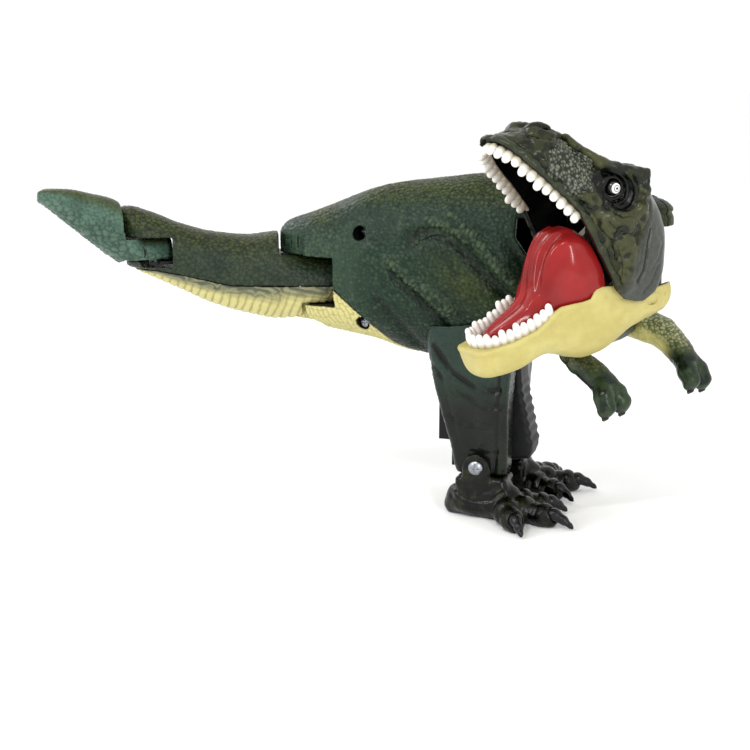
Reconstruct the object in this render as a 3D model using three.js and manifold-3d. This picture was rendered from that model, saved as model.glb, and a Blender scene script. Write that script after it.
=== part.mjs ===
// Hand-held trigger dinosaur, rest pose = trigger squeezed. Millimetres, +Z up, +X body forward, +Y the animal's left.
// Origin: middle of the two soles, on the floor, under the ankles.
import * as THREE from "three";
import { mergeVertices } from "three/addons/utils/BufferGeometryUtils.js";
import Module from "manifold-3d";

const wasm = await Module();
wasm.setup();

// ---------------------------------------------------------------- driving dimensions
const WALL = 2.0; // shell thickness
const GAP = 0.3; // gap between fixed neighbours
const H1X = 36.5; // neck shaft, from the origin along X
const NECK_LENGTH = 36; // neck shaft to head pin
const NECK_YAW = 32; // degrees the neck is swung right at rest
const HEAD_YAW = 104; // further degrees the head is swung right at rest
const SKULL_PIVOT = [20, 14]; // x, z from the head pin and the palate line
const JAW_PIVOT = [7, -14];
const PALATE_Z = 116;
const SKULL_OPEN = 36; // pitch of the skull at rest
const JAW_OPEN = 19.2; // droop of the jaw at rest
const TAIL_X = -80; // tail pin
const TAIL_YAW = 24;
const MID_LENGTH = 75; // tail pin to tip pin
const TIP_YAW = 16;
const TRIGGER_PIVOT = [6, 77];
const RACK_TRAVEL_R = 9; // pitch radius of the neck gear, 12 teeth of module 1.5
const LINK_TRUNK = 5.6; // tail link: peg on the trunk, left of the tail pin
const LINK_TIP = 8.4; // tail link: peg on the tip, right of the tip pin

const COL = {
  green: [0x33443c, 0.42],
  darkgreen: [0x2b3a33, 0.4],
  olive: [0x454b39, 0.45],
  cream: [0xe3da8c, 0.5],
  white: [0xf2f1ea, 0.35],
  red: [0xa5122a, 0.18],
  black: [0x14161a, 0.35],
  steel: [0xa9adb3, 0.3],
  nylon: [0xd8d6cc, 0.5],
};
const rad = THREE.MathUtils.degToRad;
const deg = THREE.MathUtils.radToDeg;

// ---------------------------------------------------------------- solids and booleans
function bare(g) {
  let b = g.index ? g.toNonIndexed() : g.clone();
  for (const k of Object.keys(b.attributes)) if (k !== "position") b.deleteAttribute(k);
  return b;
}
function solid(g) {
  if (g.isSolid) return g.m;
  const m = mergeVertices(bare(g), 1e-4);
  let tri = new Uint32Array(m.index.array);
  const pos = m.attributes.position.array;
  let s = new wasm.Manifold(new wasm.Mesh({ numProp: 3, vertProperties: pos, triVerts: tri }));
  if (s.volume() < 0) {
    for (let i = 0; i < tri.length; i += 3) [tri[i + 1], tri[i + 2]] = [tri[i + 2], tri[i + 1]];
    s = new wasm.Manifold(new wasm.Mesh({ numProp: 3, vertProperties: pos, triVerts: tri }));
  }
  return s;
}
const S = (g) => (g && g.isBufferGeometry ? solid(g) : g);
function add(...a) {
  return a.map(S).reduce((x, y) => x.add(y));
}
function cut(a, ...b) {
  return b.map(S).reduce((x, y) => x.subtract(y), S(a));
}
function both(a, ...b) {
  return b.map(S).reduce((x, y) => x.intersect(y), S(a));
}
function geometryOf(s) {
  const m = s.getMesh();
  const np = m.numProp;
  const pos = new Float32Array((m.vertProperties.length / np) * 3);
  for (let i = 0; i < pos.length / 3; i++)
    for (let k = 0; k < 3; k++) pos[3 * i + k] = m.vertProperties[np * i + k];
  const g = new THREE.BufferGeometry();
  g.setAttribute("position", new THREE.BufferAttribute(pos, 3));
  g.setIndex(new THREE.BufferAttribute(new Uint32Array(m.triVerts), 1));
  g.computeVertexNormals();
  return g;
}
// keep only the largest body of a cut piece
function main(s) {
  const parts = S(s).decompose();
  return parts.sort((a, b) => b.volume() - a.volume())[0];
}
function box(x0, x1, y0, y1, z0, z1) {
  const g = new THREE.BoxGeometry(x1 - x0, y1 - y0, z1 - z0);
  g.translate((x0 + x1) / 2, (y0 + y1) / 2, (z0 + z1) / 2);
  return g;
}
function cylZ(x, y, z0, z1, r, n = 20) {
  const g = new THREE.CylinderGeometry(r, r, z1 - z0, n);
  g.rotateX(Math.PI / 2);
  g.translate(x, y, (z0 + z1) / 2);
  return g;
}
function cylY(x, z, y0, y1, r, n = 16, r2 = r) {
  const g = new THREE.CylinderGeometry(r2, r, y1 - y0, n);
  g.translate(x, (y0 + y1) / 2, z);
  return g;
}
function prismZ(points, z0, z1) {
  const s = new THREE.Shape(points.map((p) => new THREE.Vector2(p[0], p[1])));
  const g = new THREE.ExtrudeGeometry(s, { depth: z1 - z0, bevelEnabled: false });
  g.translate(0, 0, z0);
  return g;
}
// outline in X and Z, extruded along Y
function prismY(points, y0, y1) {
  const s = new THREE.Shape(points.map((p) => new THREE.Vector2(p[0], p[1])));
  const g = new THREE.ExtrudeGeometry(s, { depth: y1 - y0, bevelEnabled: false });
  g.rotateX(Math.PI / 2);
  g.translate(0, y1, 0);
  return g;
}
// loft of superellipse rings across X: [x, zTop, zBottom, halfWidth, power, yCentre]
function loftX(stations, n = 18, grow = 0) {
  const rings = stations.map(([x, top, bot, hw, e = 2.3, yc = 0]) => {
    const zc = (top + bot) / 2,
      hh = (top - bot) / 2 + grow,
      w = hw + grow,
      ring = [];
    for (let i = 0; i < n; i++) {
      const a = ((i + 0.5) / n) * 2 * Math.PI,
        c = Math.cos(a),
        s = Math.sin(a);
      ring.push([
        x,
        yc + w * Math.sign(c) * Math.abs(c) ** (2 / e),
        zc + hh * Math.sign(s) * Math.abs(s) ** (2 / e),
      ]);
    }
    return ring;
  });
  return skin(rings);
}
function skin(rings) {
  const n = rings[0].length,
    pos = [],
    idx = [];
  for (const r of rings) for (const p of r) pos.push(...p);
  for (let k = 0; k < rings.length - 1; k++)
    for (let i = 0; i < n; i++) {
      const a = k * n + i,
        b = k * n + ((i + 1) % n),
        c = a + n,
        d = b + n;
      idx.push(a, b, d, a, d, c);
    }
  for (const [k, flip] of [
    [0, true],
    [rings.length - 1, false],
  ]) {
    const mid = [0, 0, 0];
    for (const p of rings[k]) for (let j = 0; j < 3; j++) mid[j] += p[j] / n;
    const m = pos.length / 3;
    pos.push(...mid);
    for (let i = 0; i < n; i++) {
      const a = k * n + i,
        b = k * n + ((i + 1) % n);
      if (flip) idx.push(m, b, a);
      else idx.push(m, a, b);
    }
  }
  const g = new THREE.BufferGeometry();
  g.setAttribute("position", new THREE.BufferAttribute(new Float32Array(pos), 3));
  g.setIndex(idx);
  return g;
}
// tapering limb through points [x, y, z, r], rings square to the path
function limb(points, n = 10, squash = 1) {
  const v = points.map((p) => new THREE.Vector3(p[0], p[1], p[2]));
  const rings = [];
  for (let i = 0; i < v.length; i++) {
    const t = new THREE.Vector3()
      .subVectors(v[Math.min(i + 1, v.length - 1)], v[Math.max(i - 1, 0)])
      .normalize();
    const side = new THREE.Vector3(0, 1, 0).cross(t);
    if (side.length() < 0.2) side.set(1, 0, 0);
    side.normalize();
    const up = new THREE.Vector3().crossVectors(t, side).normalize();
    const ring = [];
    for (let k = 0; k < n; k++) {
      const a = (k / n) * 2 * Math.PI;
      const q = v[i]
        .clone()
        .addScaledVector(side, points[i][3] * Math.cos(a))
        .addScaledVector(up, points[i][3] * squash * Math.sin(a));
      ring.push([q.x, q.y, q.z]);
    }
    rings.push(ring);
  }
  return skin(rings);
}

// ---------------------------------------------------------------- gears
const ADD = 0.72,
  DED = 1.05,
  THICK = 0.4; // addendum and dedendum in modules, tooth thickness on the pitch line in pitches
// gear about Z; a tooth is centred on the angle `at` (degrees); from..to keeps a sector of the teeth
function gear(N, m, z0, z1, at, { bore = 0, from = null, to = null, hub = 0 } = {}) {
  const r = (N * m) / 2,
    ro = r + ADD * m,
    ri = r - DED * m,
    step = (2 * Math.PI) / N,
    wt = 0.19 * step,
    wp = THICK * 0.5 * step,
    wr = 0.31 * step;
  const pts = [];
  const teeth = [];
  if (from === null) for (let k = 0; k < N; k++) teeth.push(rad(at) + k * step);
  else {
    let k0 = Math.ceil((rad(from) - rad(at)) / step),
      k1 = Math.floor((rad(to) - rad(at)) / step);
    for (let k = k0; k <= k1; k++) teeth.push(rad(at) + k * step);
  }
  const P = (rr, a) => pts.push([rr * Math.cos(a), rr * Math.sin(a)]);
  for (const a of teeth) {
    P(ri, a - wr);
    P(r, a - wp);
    P(ro, a - wt * 0.75);
    P(ro, a + wt * 0.75);
    P(r, a + wp);
    P(ri, a + wr);
  }
  if (from !== null) {
    const a1 = teeth[teeth.length - 1] + wr,
      a0 = teeth[0] - wr;
    const rin = Math.max(hub, 0.5);
    for (let k = 0; k <= 4; k++) P(rin, a1 + ((a0 - a1) * k) / 4);
  }
  let s = S(prismZ(pts, z0, z1));
  if (from !== null && hub) s = s.add(S(cylZ(0, 0, z0, z1, hub + 0.6, 16)));
  if (bore) s = s.subtract(S(cylZ(0, 0, z0 - 1, z1 + 1, bore, 14)));
  return s;
}
// straight rack along X with its teeth towards +Y from the pitch line y=0; a gap is centred on x=0
function rackTeeth(m, x0, x1, z0, z1, back) {
  const p = Math.PI * m,
    pts = [];
  const wt = 0.19 * p * 0.75,
    wp = 0.2 * p,
    wr = 0.31 * p;
  pts.push([x0, -back]);
  pts.push([x0, -DED * m]);
  const out = [];
  for (let k = Math.ceil(x0 / p - 0.5 + 0.32); (k + 0.5) * p + wr < x1; k++) {
    const c = (k + 0.5) * p;
    if (c - wr <= x0) continue;
    out.push([c - wr, -DED * m], [c - wp, 0], [c - wt, ADD * m], [c + wt, ADD * m], [c + wp, 0], [c + wr, -DED * m]);
  }
  pts.push(...out, [x1, -DED * m], [x1, -back]);
  return prismZ(pts, z0, z1);
}
// move a solid made about Z so that its axis is Y: its z becomes -y, so x and y become x and z
function turnToY(s) {
  return S(s).rotate([90, 0, 0]);
}

// ---------------------------------------------------------------- scene helpers
const root = new THREE.Group();
function group(parent, x = 0, y = 0, z = 0, yaw = 0, pitch = 0) {
  const g = new THREE.Group();
  g.position.set(x, y, z);
  g.rotation.set(0, rad(-pitch), rad(yaw), "ZYX");
  parent.add(g);
  return g;
}
const neck = group(root, H1X, 0, 0, -NECK_YAW);
const head = group(neck, NECK_LENGTH, 0, 0, -HEAD_YAW);
const skull = group(head, SKULL_PIVOT[0], 0, PALATE_Z + SKULL_PIVOT[1], 0, SKULL_OPEN);
const jaw = group(head, JAW_PIVOT[0], 0, PALATE_Z + JAW_PIVOT[1], 0, -JAW_OPEN);
const tailMid = group(root, TAIL_X, 0, 0, TAIL_YAW);
const tailTip = group(tailMid, -MID_LENGTH, 0, 0, TIP_YAW);

function put(parent, name, s, [color, roughness], metalness = 0) {
  const mesh = new THREE.Mesh(
    geometryOf(S(s)),
    new THREE.MeshStandardMaterial({ color, roughness, metalness }),
  );
  mesh.name = name;
  parent.add(mesh);
}

// ---------------------------------------------------------------- trunk
const TRUNK = [
  // x, top, bottom, half width, power
  [-97, 120.5, 84, 15.5, 2.3],
  [-93, 123, 80, 18.5, 2.3],
  [-82, 126.8, 77, 21.8, 2.3],
  [-68, 132.3, 74.5, 24.8, 2.3],
  [-52, 138.3, 72, 27, 2.3],
  [-35, 141.5, 67.5, 28.6, 2.3],
  [-18, 143.5, 66, 29.5, 2.3],
  [-3, 145, 66.5, 29.2, 2.3],
  [12, 145.3, 69, 27.5, 2.3],
  [26, 144.2, 75, 23.5, 2.3],
  [38, 142.5, 81, 20.5, 2.5],
  [48, 140.5, 81, 19.5, 2.6],
  [52.8, 138.8, 82, 18, 2.6],
];
const INNER = TRUNK.map(([x, t, b, w, e], i) => [
  i === 0 ? x + WALL : i === TRUNK.length - 1 ? x - WALL : x,
  t - WALL,
  b + WALL,
  w - WALL,
  e,
]);
const LOBE_Z = { rearLow: 87.5, rearHigh: 109.2, frontLow: 100.5, frontHigh: 128.5 };
const R_REAR = [17.5, 13],
  R_FRONT = [14.2, 16.5]; // outer radii of the upper and lower lobes
// what is taken off the blank all round the two pins; g insets it by the wall
const lobeCuts = (g) => [
  cut(box(-110, TAIL_X, -40, 40, 100, 140), cylZ(TAIL_X, 0, 99, 141, R_REAR[0] - g, 24)),
  cut(box(-110, TAIL_X, -40, 40, 60, 100), cylZ(TAIL_X, 0, 59, 101, R_REAR[1] - g, 20)),
  cut(box(H1X, 70, -40, 40, 110, 160), cylZ(H1X, 0, 109, 161, R_FRONT[0] - g, 24)),
  cut(box(24, 70, 14.2 - g, 40, 128.5 - g, 160)),
  cut(box(24, 70, -40, -14.2 + g, 128.5 - g, 160)),
  cut(box(H1X, 70, -40, 40, 60, 110), cylZ(H1X, 0, 59, 111, R_FRONT[1] - g, 24)),
  prismY(
    [
      [-110, 60],
      [-74.5 + g, 60],
      [-74.5 + g, 78.2 + g],
      [-78, 80.2 + g],
      [-110, 80.2 + g],
    ],
    -40,
    40,
  ),
  box(16 - g, 70, -40, 40, 40, 87.8 + g),
];
const trunkSolid = cut(loftX(TRUNK, 18), ...lobeCuts(0));
const trunkHollow = cut(loftX(INNER, 18), ...lobeCuts(WALL));
let trunkShell = trunkSolid.subtract(trunkHollow);
// inner walls of the four lobes: floors and roofs that carry the tail pin and the neck shaft
const rearRoof = both(trunkSolid, box(-99, -65.2, -40, 40, LOBE_Z.rearHigh, LOBE_Z.rearHigh + 1.8));
const rearFloor = both(trunkSolid, box(-99, -62, -40, 40, LOBE_Z.rearLow - 1.8, LOBE_Z.rearLow));
const frontRoof = both(trunkSolid, box(14.5, 60, -40, 40, LOBE_Z.frontHigh, LOBE_Z.frontHigh + 1.8));
const frontFloor = both(trunkSolid, box(17, 60, -40, 40, LOBE_Z.frontLow - 1.8, LOBE_Z.frontLow));
trunkShell = add(trunkShell, rearRoof, rearFloor, frontRoof, frontFloor);
const rearSlot = box(-110, -65.2, -40, 40, LOBE_Z.rearLow, LOBE_Z.rearHigh);
const frontSlot = prismY(
  [
    [14.5, LOBE_Z.frontHigh],
    [14.5, 120.7],
    [20.5, 112],
    [28, LOBE_Z.frontLow],
    [70, LOBE_Z.frontLow],
    [70, LOBE_Z.frontHigh],
  ],
  -40,
  40,
);
const stemRoom = cylZ(H1X, 0, LOBE_Z.frontLow, LOBE_Z.frontHigh, 16.5, 28);
// opening below for the grip and the trigger, and slots in the front wall for the trigger's swing
trunkShell = cut(
  trunkShell,
  rearSlot,
  both(cylZ(TAIL_X, 0, 111.4, 117.2, 16.8, 24), box(-93, -76, -20, -8, 100, 120)), // room for the end of the rack
  frontSlot,
  stemRoom,
  box(-15.2, 13.7, -12.5, 12.5, 55, 74),
  box(-10, 24, -9.2, 9.2, 55, 74),
  box(10, 20, -3.3, 3.3, 73, 87.7),
);
// screw bosses: the right half has the head seat, the left half the thread
const SCREWS = [
  ["trunk_screw_upper", -53, 120.3],
  ["trunk_screw_lower", -53.2, 80.8],
];
for (const [, x, z] of SCREWS) {
  const boss = both(cylY(x, z, -40, 40, 4.6, 14), trunkSolid);
  trunkShell = trunkShell.add(boss);
}
// guide rails for the drive bar hang from both flanks
trunkShell = trunkShell.add(both(box(-31.5, -22.5, -40, 40, 95.6, 98.1), trunkSolid));
for (const [, x, z] of SCREWS)
  trunkShell = cut(
    trunkShell,
    cylY(x, z, -40, -14, 3.4, 14), // head recess from the right side
    cylY(x, z, -15, 9.3, 1.75, 12), // shank bore
  );
// holes in the lobes for the two pins
trunkShell = cut(
  trunkShell,
  cylZ(TAIL_X, 0, 84, 122.6, 2.3, 16),
  cylZ(TAIL_X, 0, 109, 111.5, 3.8, 16),
  cylZ(H1X, 0, 87, 101, 3.3, 16),
  cylZ(H1X, 0, 128, 134, 3.3, 16),
);
// peg for the tail link, off the tail pin's axis
trunkShell = trunkShell.add(S(cylZ(TAIL_X, LINK_TRUNK, 104.4, 110, 1.0, 10)));
// cream belly plate: everything under a line that drops forward from the tail joint
const bellyLine = (x) => 95.5 - (x + 65) * 0.93;
const bellyWedge = prismY(
  [
    [-110, 55],
    [-110, 87.6],
    [-72, 87.6],
    [-66, bellyLine(-66)],
    [-40, bellyLine(-40)],
    [-29, 67.2],
    [-26, 55],
  ],
  -40,
  40,
);
const bellyGap = prismY(
  [
    [-110, 54],
    [-110, 87.6 + GAP],
    [-71.8, 87.6 + GAP],
    [-65.8, bellyLine(-66) + GAP],
    [-39.8, bellyLine(-40) + GAP],
    [-28.7, 67.2 + GAP],
    [-25.6, 54],
  ],
  -41,
  41,
);
const ORDER = (s) => S(s).decompose().sort((a, b) => b.volume() - a.volume());
const belly = main(both(trunkShell, bellyWedge));
const upperTrunk = cut(trunkShell, bellyGap);
put(root, "trunk_shell_right", main(both(upperTrunk, box(-120, 80, -60, -GAP / 2, 40, 160))), COL.green);
put(root, "trunk_shell_left", main(both(upperTrunk, box(-120, 80, GAP / 2, 60, 40, 160))), COL.green);
put(root, "belly_plate", belly, COL.cream);
for (const [name, x, z] of SCREWS)
  put(
    root,
    name,
    add(cylY(x, z, -14 + 0, -11.6 - 0, 2.9, 14), cylY(x, z, -14, 8.6, 1.4, 12)).translate([0, -2.7, 0]),
    COL.steel,
    0.8,
  );

// ---------------------------------------------------------------- legs, grip, feet
for (const side of [1, -1]) {
  const word = side > 0 ? "left" : "right";
  const y = (v) => v * side;
  const legOuter = (() => {
    const st = [
      // z, x rear, x front, y inner, y outer
      [86, -26, 14.5, 12.8, 28.5],
      [65.2, -21.5, 13.5, 12.8, 26.6],
      [56, -19.5, 13, 12.4, 25.8],
      [44, -16.5, 12.5, 12.4, 25],
      [32, -13, 12.5, 12.4, 24],
      [22, -11, 12.5, 12.4, 23.5],
      [18.5, -10, 12, 12.4, 23],
    ];
    const rings = st.map(([z, xr, xf, yi, yo]) => {
      const c = 3.5;
      return [
        [xr, y(yi), z],
        [xr, y(yo - c), z],
        [xr + c, y(yo), z],
        [xf - c, y(yo), z],
        [xf, y(yo - c), z],
        [xf, y(yi), z],
      ];
    });
    return skin(rings);
  })();
  let leg = cut(legOuter, loftX(TRUNK, 18, 0.35), skin(
    [
      [88, -23.8, 12.3, 10, 26.3],
      [65.2, -19.3, 11.3, 10, 24.4],
      [56, -17.3, 10.8, 10, 23.6],
      [44, -14.3, 10.3, 10, 22.8],
      [32, -10.8, 10.3, 10, 21.9],
      [27.5, -9.9, 10.3, 10, 21.6],
    ].map(([z, xr, xf, yi, yo]) => {
      const c = 3;
      return [
        [xr, y(yi), z],
        [xr, y(yo - c), z],
        [xr + c, y(yo), z],
        [xf - c, y(yo), z],
        [xf, y(yo - c), z],
        [xf, y(yi), z],
      ];
    }),
  ));
  leg = cut(leg, side > 0 ? cylY(0, 22.5, 10, 26, 1.8, 12) : cylY(0, 22.5, -26, -10, 1.8, 12));
  put(root, `leg_shell_${word}`, main(leg), COL.darkgreen);
  // foot: ankle cuff and heel, three toes with claws, flat sole
  const cuff = cut(
    side > 0 ? box(-9.5, 13, 10, 27.2, 3, 18.2) : box(-9.5, 13, -27.2, -10, 3, 18.2),
  );
  const outerEar = add(
    side > 0 ? cylY(0, 22.5, 24.2, 27.5, 6, 14) : cylY(0, 22.5, -27.5, -24.2, 6, 14),
    side > 0 ? box(-6, 6, 24.2, 27.5, 10, 22.5) : box(-6, 6, -27.5, -24.2, 10, 22.5),
  );
  const heel = limb(
    [
      [-14, y(19), 5, 3.4],
      [-11.5, y(19), 5.6, 6.6],
      [-3, y(20), 7.6, 8.8],
      [8, y(21), 8, 9.2],
      [14, y(22), 6.8, 7.6],
    ],
    10,
    1,
  );
  const toe = (dx, dy, len, x0 = 9, y0 = 21) =>
    add(
      limb(
        [
          [x0 - 3, y(y0), 6, 5],
          [x0 + dx * len * 0.35, y(y0 + dy * len * 0.35), 5.4, 6.2],
          [x0 + dx * len * 0.62, y(y0 + dy * len * 0.62), 4.6, 5.4],
          [x0 + dx * len * 0.72, y(y0 + dy * len * 0.72), 4.6, 4.2],
        ],
        9,
      ),
      limb(
        [
          [x0 + dx * len * 0.6, y(y0 + dy * len * 0.6), 6, 3],
          [x0 + dx * len * 0.78, y(y0 + dy * len * 0.78), 5.4, 2.9],
          [x0 + dx * len * 0.92, y(y0 + dy * len * 0.92), 3.2, 1.9],
          [x0 + dx * len, y(y0 + dy * len), 1.0, 0.7],
        ],
        8,
      ),
    );
  let foot = add(
    cuff,
    outerEar,
    heel,
    toe(0.5, 0.86, 31),
    toe(0.96, 0.28, 35),
    toe(0.93, -0.36, 29, 9, 18),
  );
  foot = cut(foot, box(-60, 80, -80, 80, -20, 0), legRoom(side));
  foot = cut(foot, side > 0 ? cylY(0, 22.5, 20, 30, 2.0, 12) : cylY(0, 22.5, -30, -20, 2.0, 12));
  put(root, `foot_${word}`, main(foot), COL.darkgreen);
  put(
    root,
    `ankle_screw_${word}`,
    side > 0
      ? add(cylY(0, 22.5, 27.8, 29.3, 3.2, 14), cylY(0, 22.5, 14, 28, 1.4, 12))
      : add(cylY(0, 22.5, -29.3, -27.8, 3.2, 14), cylY(0, 22.5, -28, -14, 1.4, 12)),
    COL.steel,
    0.8,
  );
}
function legRoom(side) {
  return side > 0 ? box(-30, 40, -20, 24.1, 18.2, 80) : box(-30, 40, -24.1, 20, 18.2, 80);
}
// grip core between the leg shells; it carries the trigger pin and the fixed end of the spring
let core = add(
  box(-20.5, -9, -12, 12, 30, 65.8),
  box(-14.5, -9, -12, 12, 18.6, 31),
  box(-14.5, 8, 9.2, 12, 40, 82.5),
  box(-14.5, 8, -12, -9.2, 40, 82.5),
  cut(cylY(TRIGGER_PIVOT[0], TRIGGER_PIVOT[1], 9.2, 12, 5.4, 16)),
  cut(cylY(TRIGGER_PIVOT[0], TRIGGER_PIVOT[1], -12, -9.2, 5.4, 16)),
  box(-14.5, -9, -12, 12, 64, 70),
);
core = cut(
  core,
  box(-18, -11, -9.5, 9.5, 32, 90),
  cylY(TRIGGER_PIVOT[0], TRIGGER_PIVOT[1], -14, 14, 2.25, 14),
);
put(root, "grip_core", main(core), COL.black);
put(root, "trigger_pin", cylY(TRIGGER_PIVOT[0], TRIGGER_PIVOT[1], -12.2, 12.2, 2.0, 14), COL.steel, 0.8);

// ---------------------------------------------------------------- trigger
const [TX, TZ] = TRIGGER_PIVOT;
let lever = prismY(
  [
    [TX - 5, TZ + 1],
    [TX - 5, TZ - 5],
    [TX - 3, 60],
    [TX - 1, 44],
    [TX + 1, 24],
    [TX + 4, 21.5],
    [TX + 13, 23],
    [TX + 14.5, 28],
    [TX + 12.2, 40],
    [TX + 9.5, 52],
    [TX + 8.5, 62],
    [TX + 7, 70],
    [TX + 5.5, TZ],
    [TX + 3, TZ + 5],
    [TX - 3, TZ + 5],
  ],
  -8.6,
  8.6,
);
lever = cut(
  lever,
  prismY(
    [
      [TX - 9, TZ + 8],
      [TX - 9, 26],
      [TX + 2.5, 25],
      [TX + 10.5, 26],
      [TX + 12, 29],
      [TX + 9.8, 40],
      [TX + 7, 52],
      [TX + 5.5, 62],
      [TX + 1, 68],
      [TX + 1, TZ + 8],
    ],
    -6.2,
    6.2,
  ),
  box(TX - 10, TX + 12, -6.2, 6.2, TZ - 8, TZ + 10),
  cylY(TX, TZ, -14, 14, 2.3, 14),
);
put(root, "trigger_lever", main(lever), COL.black);
const SECTOR_TEETH = 27;
let sector = gear(SECTOR_TEETH, 1.5, -2.6, 2.6, 90, { from: 58, to: 109, hub: 4.2, bore: 2.3 });
sector = turnToY(sector).translate([TX, 0, TZ]);
put(root, "trigger_sector", main(sector), COL.nylon);
// return spring: coil about the trigger pin, one leg to the core
const coilPts = [];
for (let k = 0; k <= 40; k++) {
  const a = (k / 40) * 2 * Math.PI * 2.6 + Math.PI;
  coilPts.push(new THREE.Vector3(TX + 3.2 * Math.cos(a), 3.9 + (k / 40) * 1.7, TZ + 3.2 * Math.sin(a)));
}
class Poly extends THREE.Curve {
  constructor(p) {
    super();
    this.c = new THREE.CatmullRomCurve3(p);
  }
  getPoint(t) {
    return this.c.getPoint(t);
  }
}
const wire = new THREE.Shape();
wire.absarc(0, 0, 0.3, 0, 2 * Math.PI);
const spring = new THREE.ExtrudeGeometry(wire, {
  steps: 40,
  curveSegments: 3,
  bevelEnabled: false,
  extrudePath: new Poly(coilPts),
});
put(root, "trigger_spring", spring, COL.steel, 0.8);

// ---------------------------------------------------------------- drive bar
const PZ = TZ + (SECTOR_TEETH * 1.5) / 2; // pitch line of the trigger rack
// underside rack: teeth point down onto the sector
const underRack = S(rackTeeth(1.5, -5.2, 9.8, -2.6, 2.6, 5.2)).rotate([-90, 0, 0]).translate([TX, 0, PZ]);
const frontRack = S(rackTeeth(1.5, -7.0, 4.6, 91.9, 96.3, 3.2))
  .rotate([0, 0, 180])
  .translate([H1X, RACK_TRAVEL_R, 0]);
const tailGearTeeth = 16;
const rTail = (tailGearTeeth * 1.5) / 2;
const rearRack = S(rackTeeth(1.5, -3.4, 9.6, 112.2, 116.6, 2.3)).translate([TAIL_X, -rTail, 0]);
let bar = add(
  underRack,
  frontRack,
  rearRack,
  box(-59.9, TX + 7, -2.6, 2.6, 99.2, 102.5),
  box(8, 13.4, -2.6, 12.2, 99.2, 102.5),
  box(8, 13.4, 10.7, 12.2, 91.9, 102.5),
  box(8, H1X - 4, 10.7, 12.2, 91.9, 96.3),
  box(-59.9, -57.9, -14.8, 2.6, 99.2, 102.5),
  box(-59.9, -57.9, -14.8, -13.2, 99.2, 116.6),
  prismZ(
    [
      [TAIL_X + 9, -13.6],
      [TAIL_X + 9, -14.3],
      [-66, -14.3],
      [-64, -14.8],
      [-58, -14.8],
      [-58, -13.6],
    ],
    112.2,
    116.6,
  ),
);
put(root, "drive_bar", main(bar), COL.nylon);
const guide = cut(
  add(box(-30 - 0, -24, -6, 6, 98.4, 106.5)),
  box(-40, -10, -2.95, 2.95, 98.8, 102.9),
);
put(root, "drive_guide", guide, COL.black);

// ---------------------------------------------------------------- neck section (local x from the shaft)
const ARM_W = 9.6,
  NW = 1.8; // half width of the arm and its wall
const RISE = 14.9; // where the arm steps up in front of the trunk's upper lobe
const ROOM_R = 11.2; // room for the yoke round the head pin
const neckBlank = (g) =>
  add(
    cylZ(0, 0, 101.1 + g, 127.9 - g, 14.5 - 0.7 * g, 26),
    loftX(
      [
        [0, 127.9, 112.8, ARM_W, 3],
        [RISE + g, 127.9, 112.8, ARM_W, 3],
        [RISE + g + 0.2, 135.5, 112.8, ARM_W, 3],
        [24, 138.6, 113, ARM_W, 2.8],
        [NECK_LENGTH, 139, 113.2, ARM_W, 2.8],
      ].map(([x, t, b, w, e]) => [x, t - g, b + g, w - g, e]),
      18,
    ),
    cylZ(NECK_LENGTH, 0, 126, 138.2 - g, ARM_W - g, 22),
  );
const yokeRoom = (g) =>
  add(
    cylZ(NECK_LENGTH, 0, 90, 127.2 + g, ROOM_R + g, 26),
    both(cylZ(NECK_LENGTH, 0, 90, 127.2 + g, 15.2 + g, 26), box(0, 60, -30, -3.4 + g, 80, 140)),
    box(NECK_LENGTH, 60, -30, 30, 90, 127.2 + g),
  );
const neckOuter = cut(neckBlank(0), yokeRoom(0));
const neckInner = cut(neckBlank(NW), yokeRoom(1.6));
let neckShell = cut(neckOuter, neckInner);
neckShell = cut(
  neckShell,
  cylZ(0, 0, 90, 110, 3.3, 16), // shaft through the bottom
  cylZ(0, 0, 120, 130, 6.6, 18), // sun gear tube through the top
  cylZ(NECK_LENGTH, 0, 120, 130, 2.4, 14), // yoke pinion tube through the lobe floor
);
// boss that keys the shaft to the stem floor
neckShell = add(neckShell, cut(cylZ(0, 0, 102.9, 112, 5.4, 16), cylZ(0, 0, 100, 113, 3.0, 16)));
// the lobe roof holds the head pin
neckShell = add(neckShell, both(cut(cylZ(NECK_LENGTH, 0, 133, 138.2, 2.9, 12), cylZ(NECK_LENGTH, 0, 130, 136.4, 1.3, 12)), neckOuter));
put(neck, "neck_shell_right", main(both(neckShell, box(-30, 60, -30, -GAP / 2, 80, 150))), COL.olive);
put(neck, "neck_shell_left", main(both(neckShell, box(-30, 60, GAP / 2, 30, 80, 150))), COL.olive);
put(
  neck,
  "neck_shaft",
  add(cylZ(0, 0, 80, 133.5, 2.4, 16), cylZ(0, 0, 80, 82, 4.5, 16)),
  COL.steel,
  0.8,
);
const neckGearAt = 90 - 15 + 15; // local angle of the rack side in the trunk frame
put(
  neck,
  "neck_gear",
  gear(12, 1.5, 92.1, 96.1, neckGearAt + NECK_YAW, { bore: 2.7 }),
  COL.nylon,
);
// fixed sun gear hangs from the trunk's upper lobe
const SUN_N = 25,
  SUN_M = 0.65,
  rSun = (SUN_N * SUN_M) / 2;
const sunAt = 90 - NECK_YAW; // towards the neck rack, in the trunk frame
put(
  root,
  "neck_sun_gear",
  cut(
    add(gear(SUN_N, SUN_M, 120.2, 123, sunAt).translate([H1X, 0, 0]), cylZ(H1X, 0, 122.9, 128.2, 5.9, 16)),
    cylZ(H1X, 0, 119, 129, 2.8, 16),
  ),
  COL.nylon,
);
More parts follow.
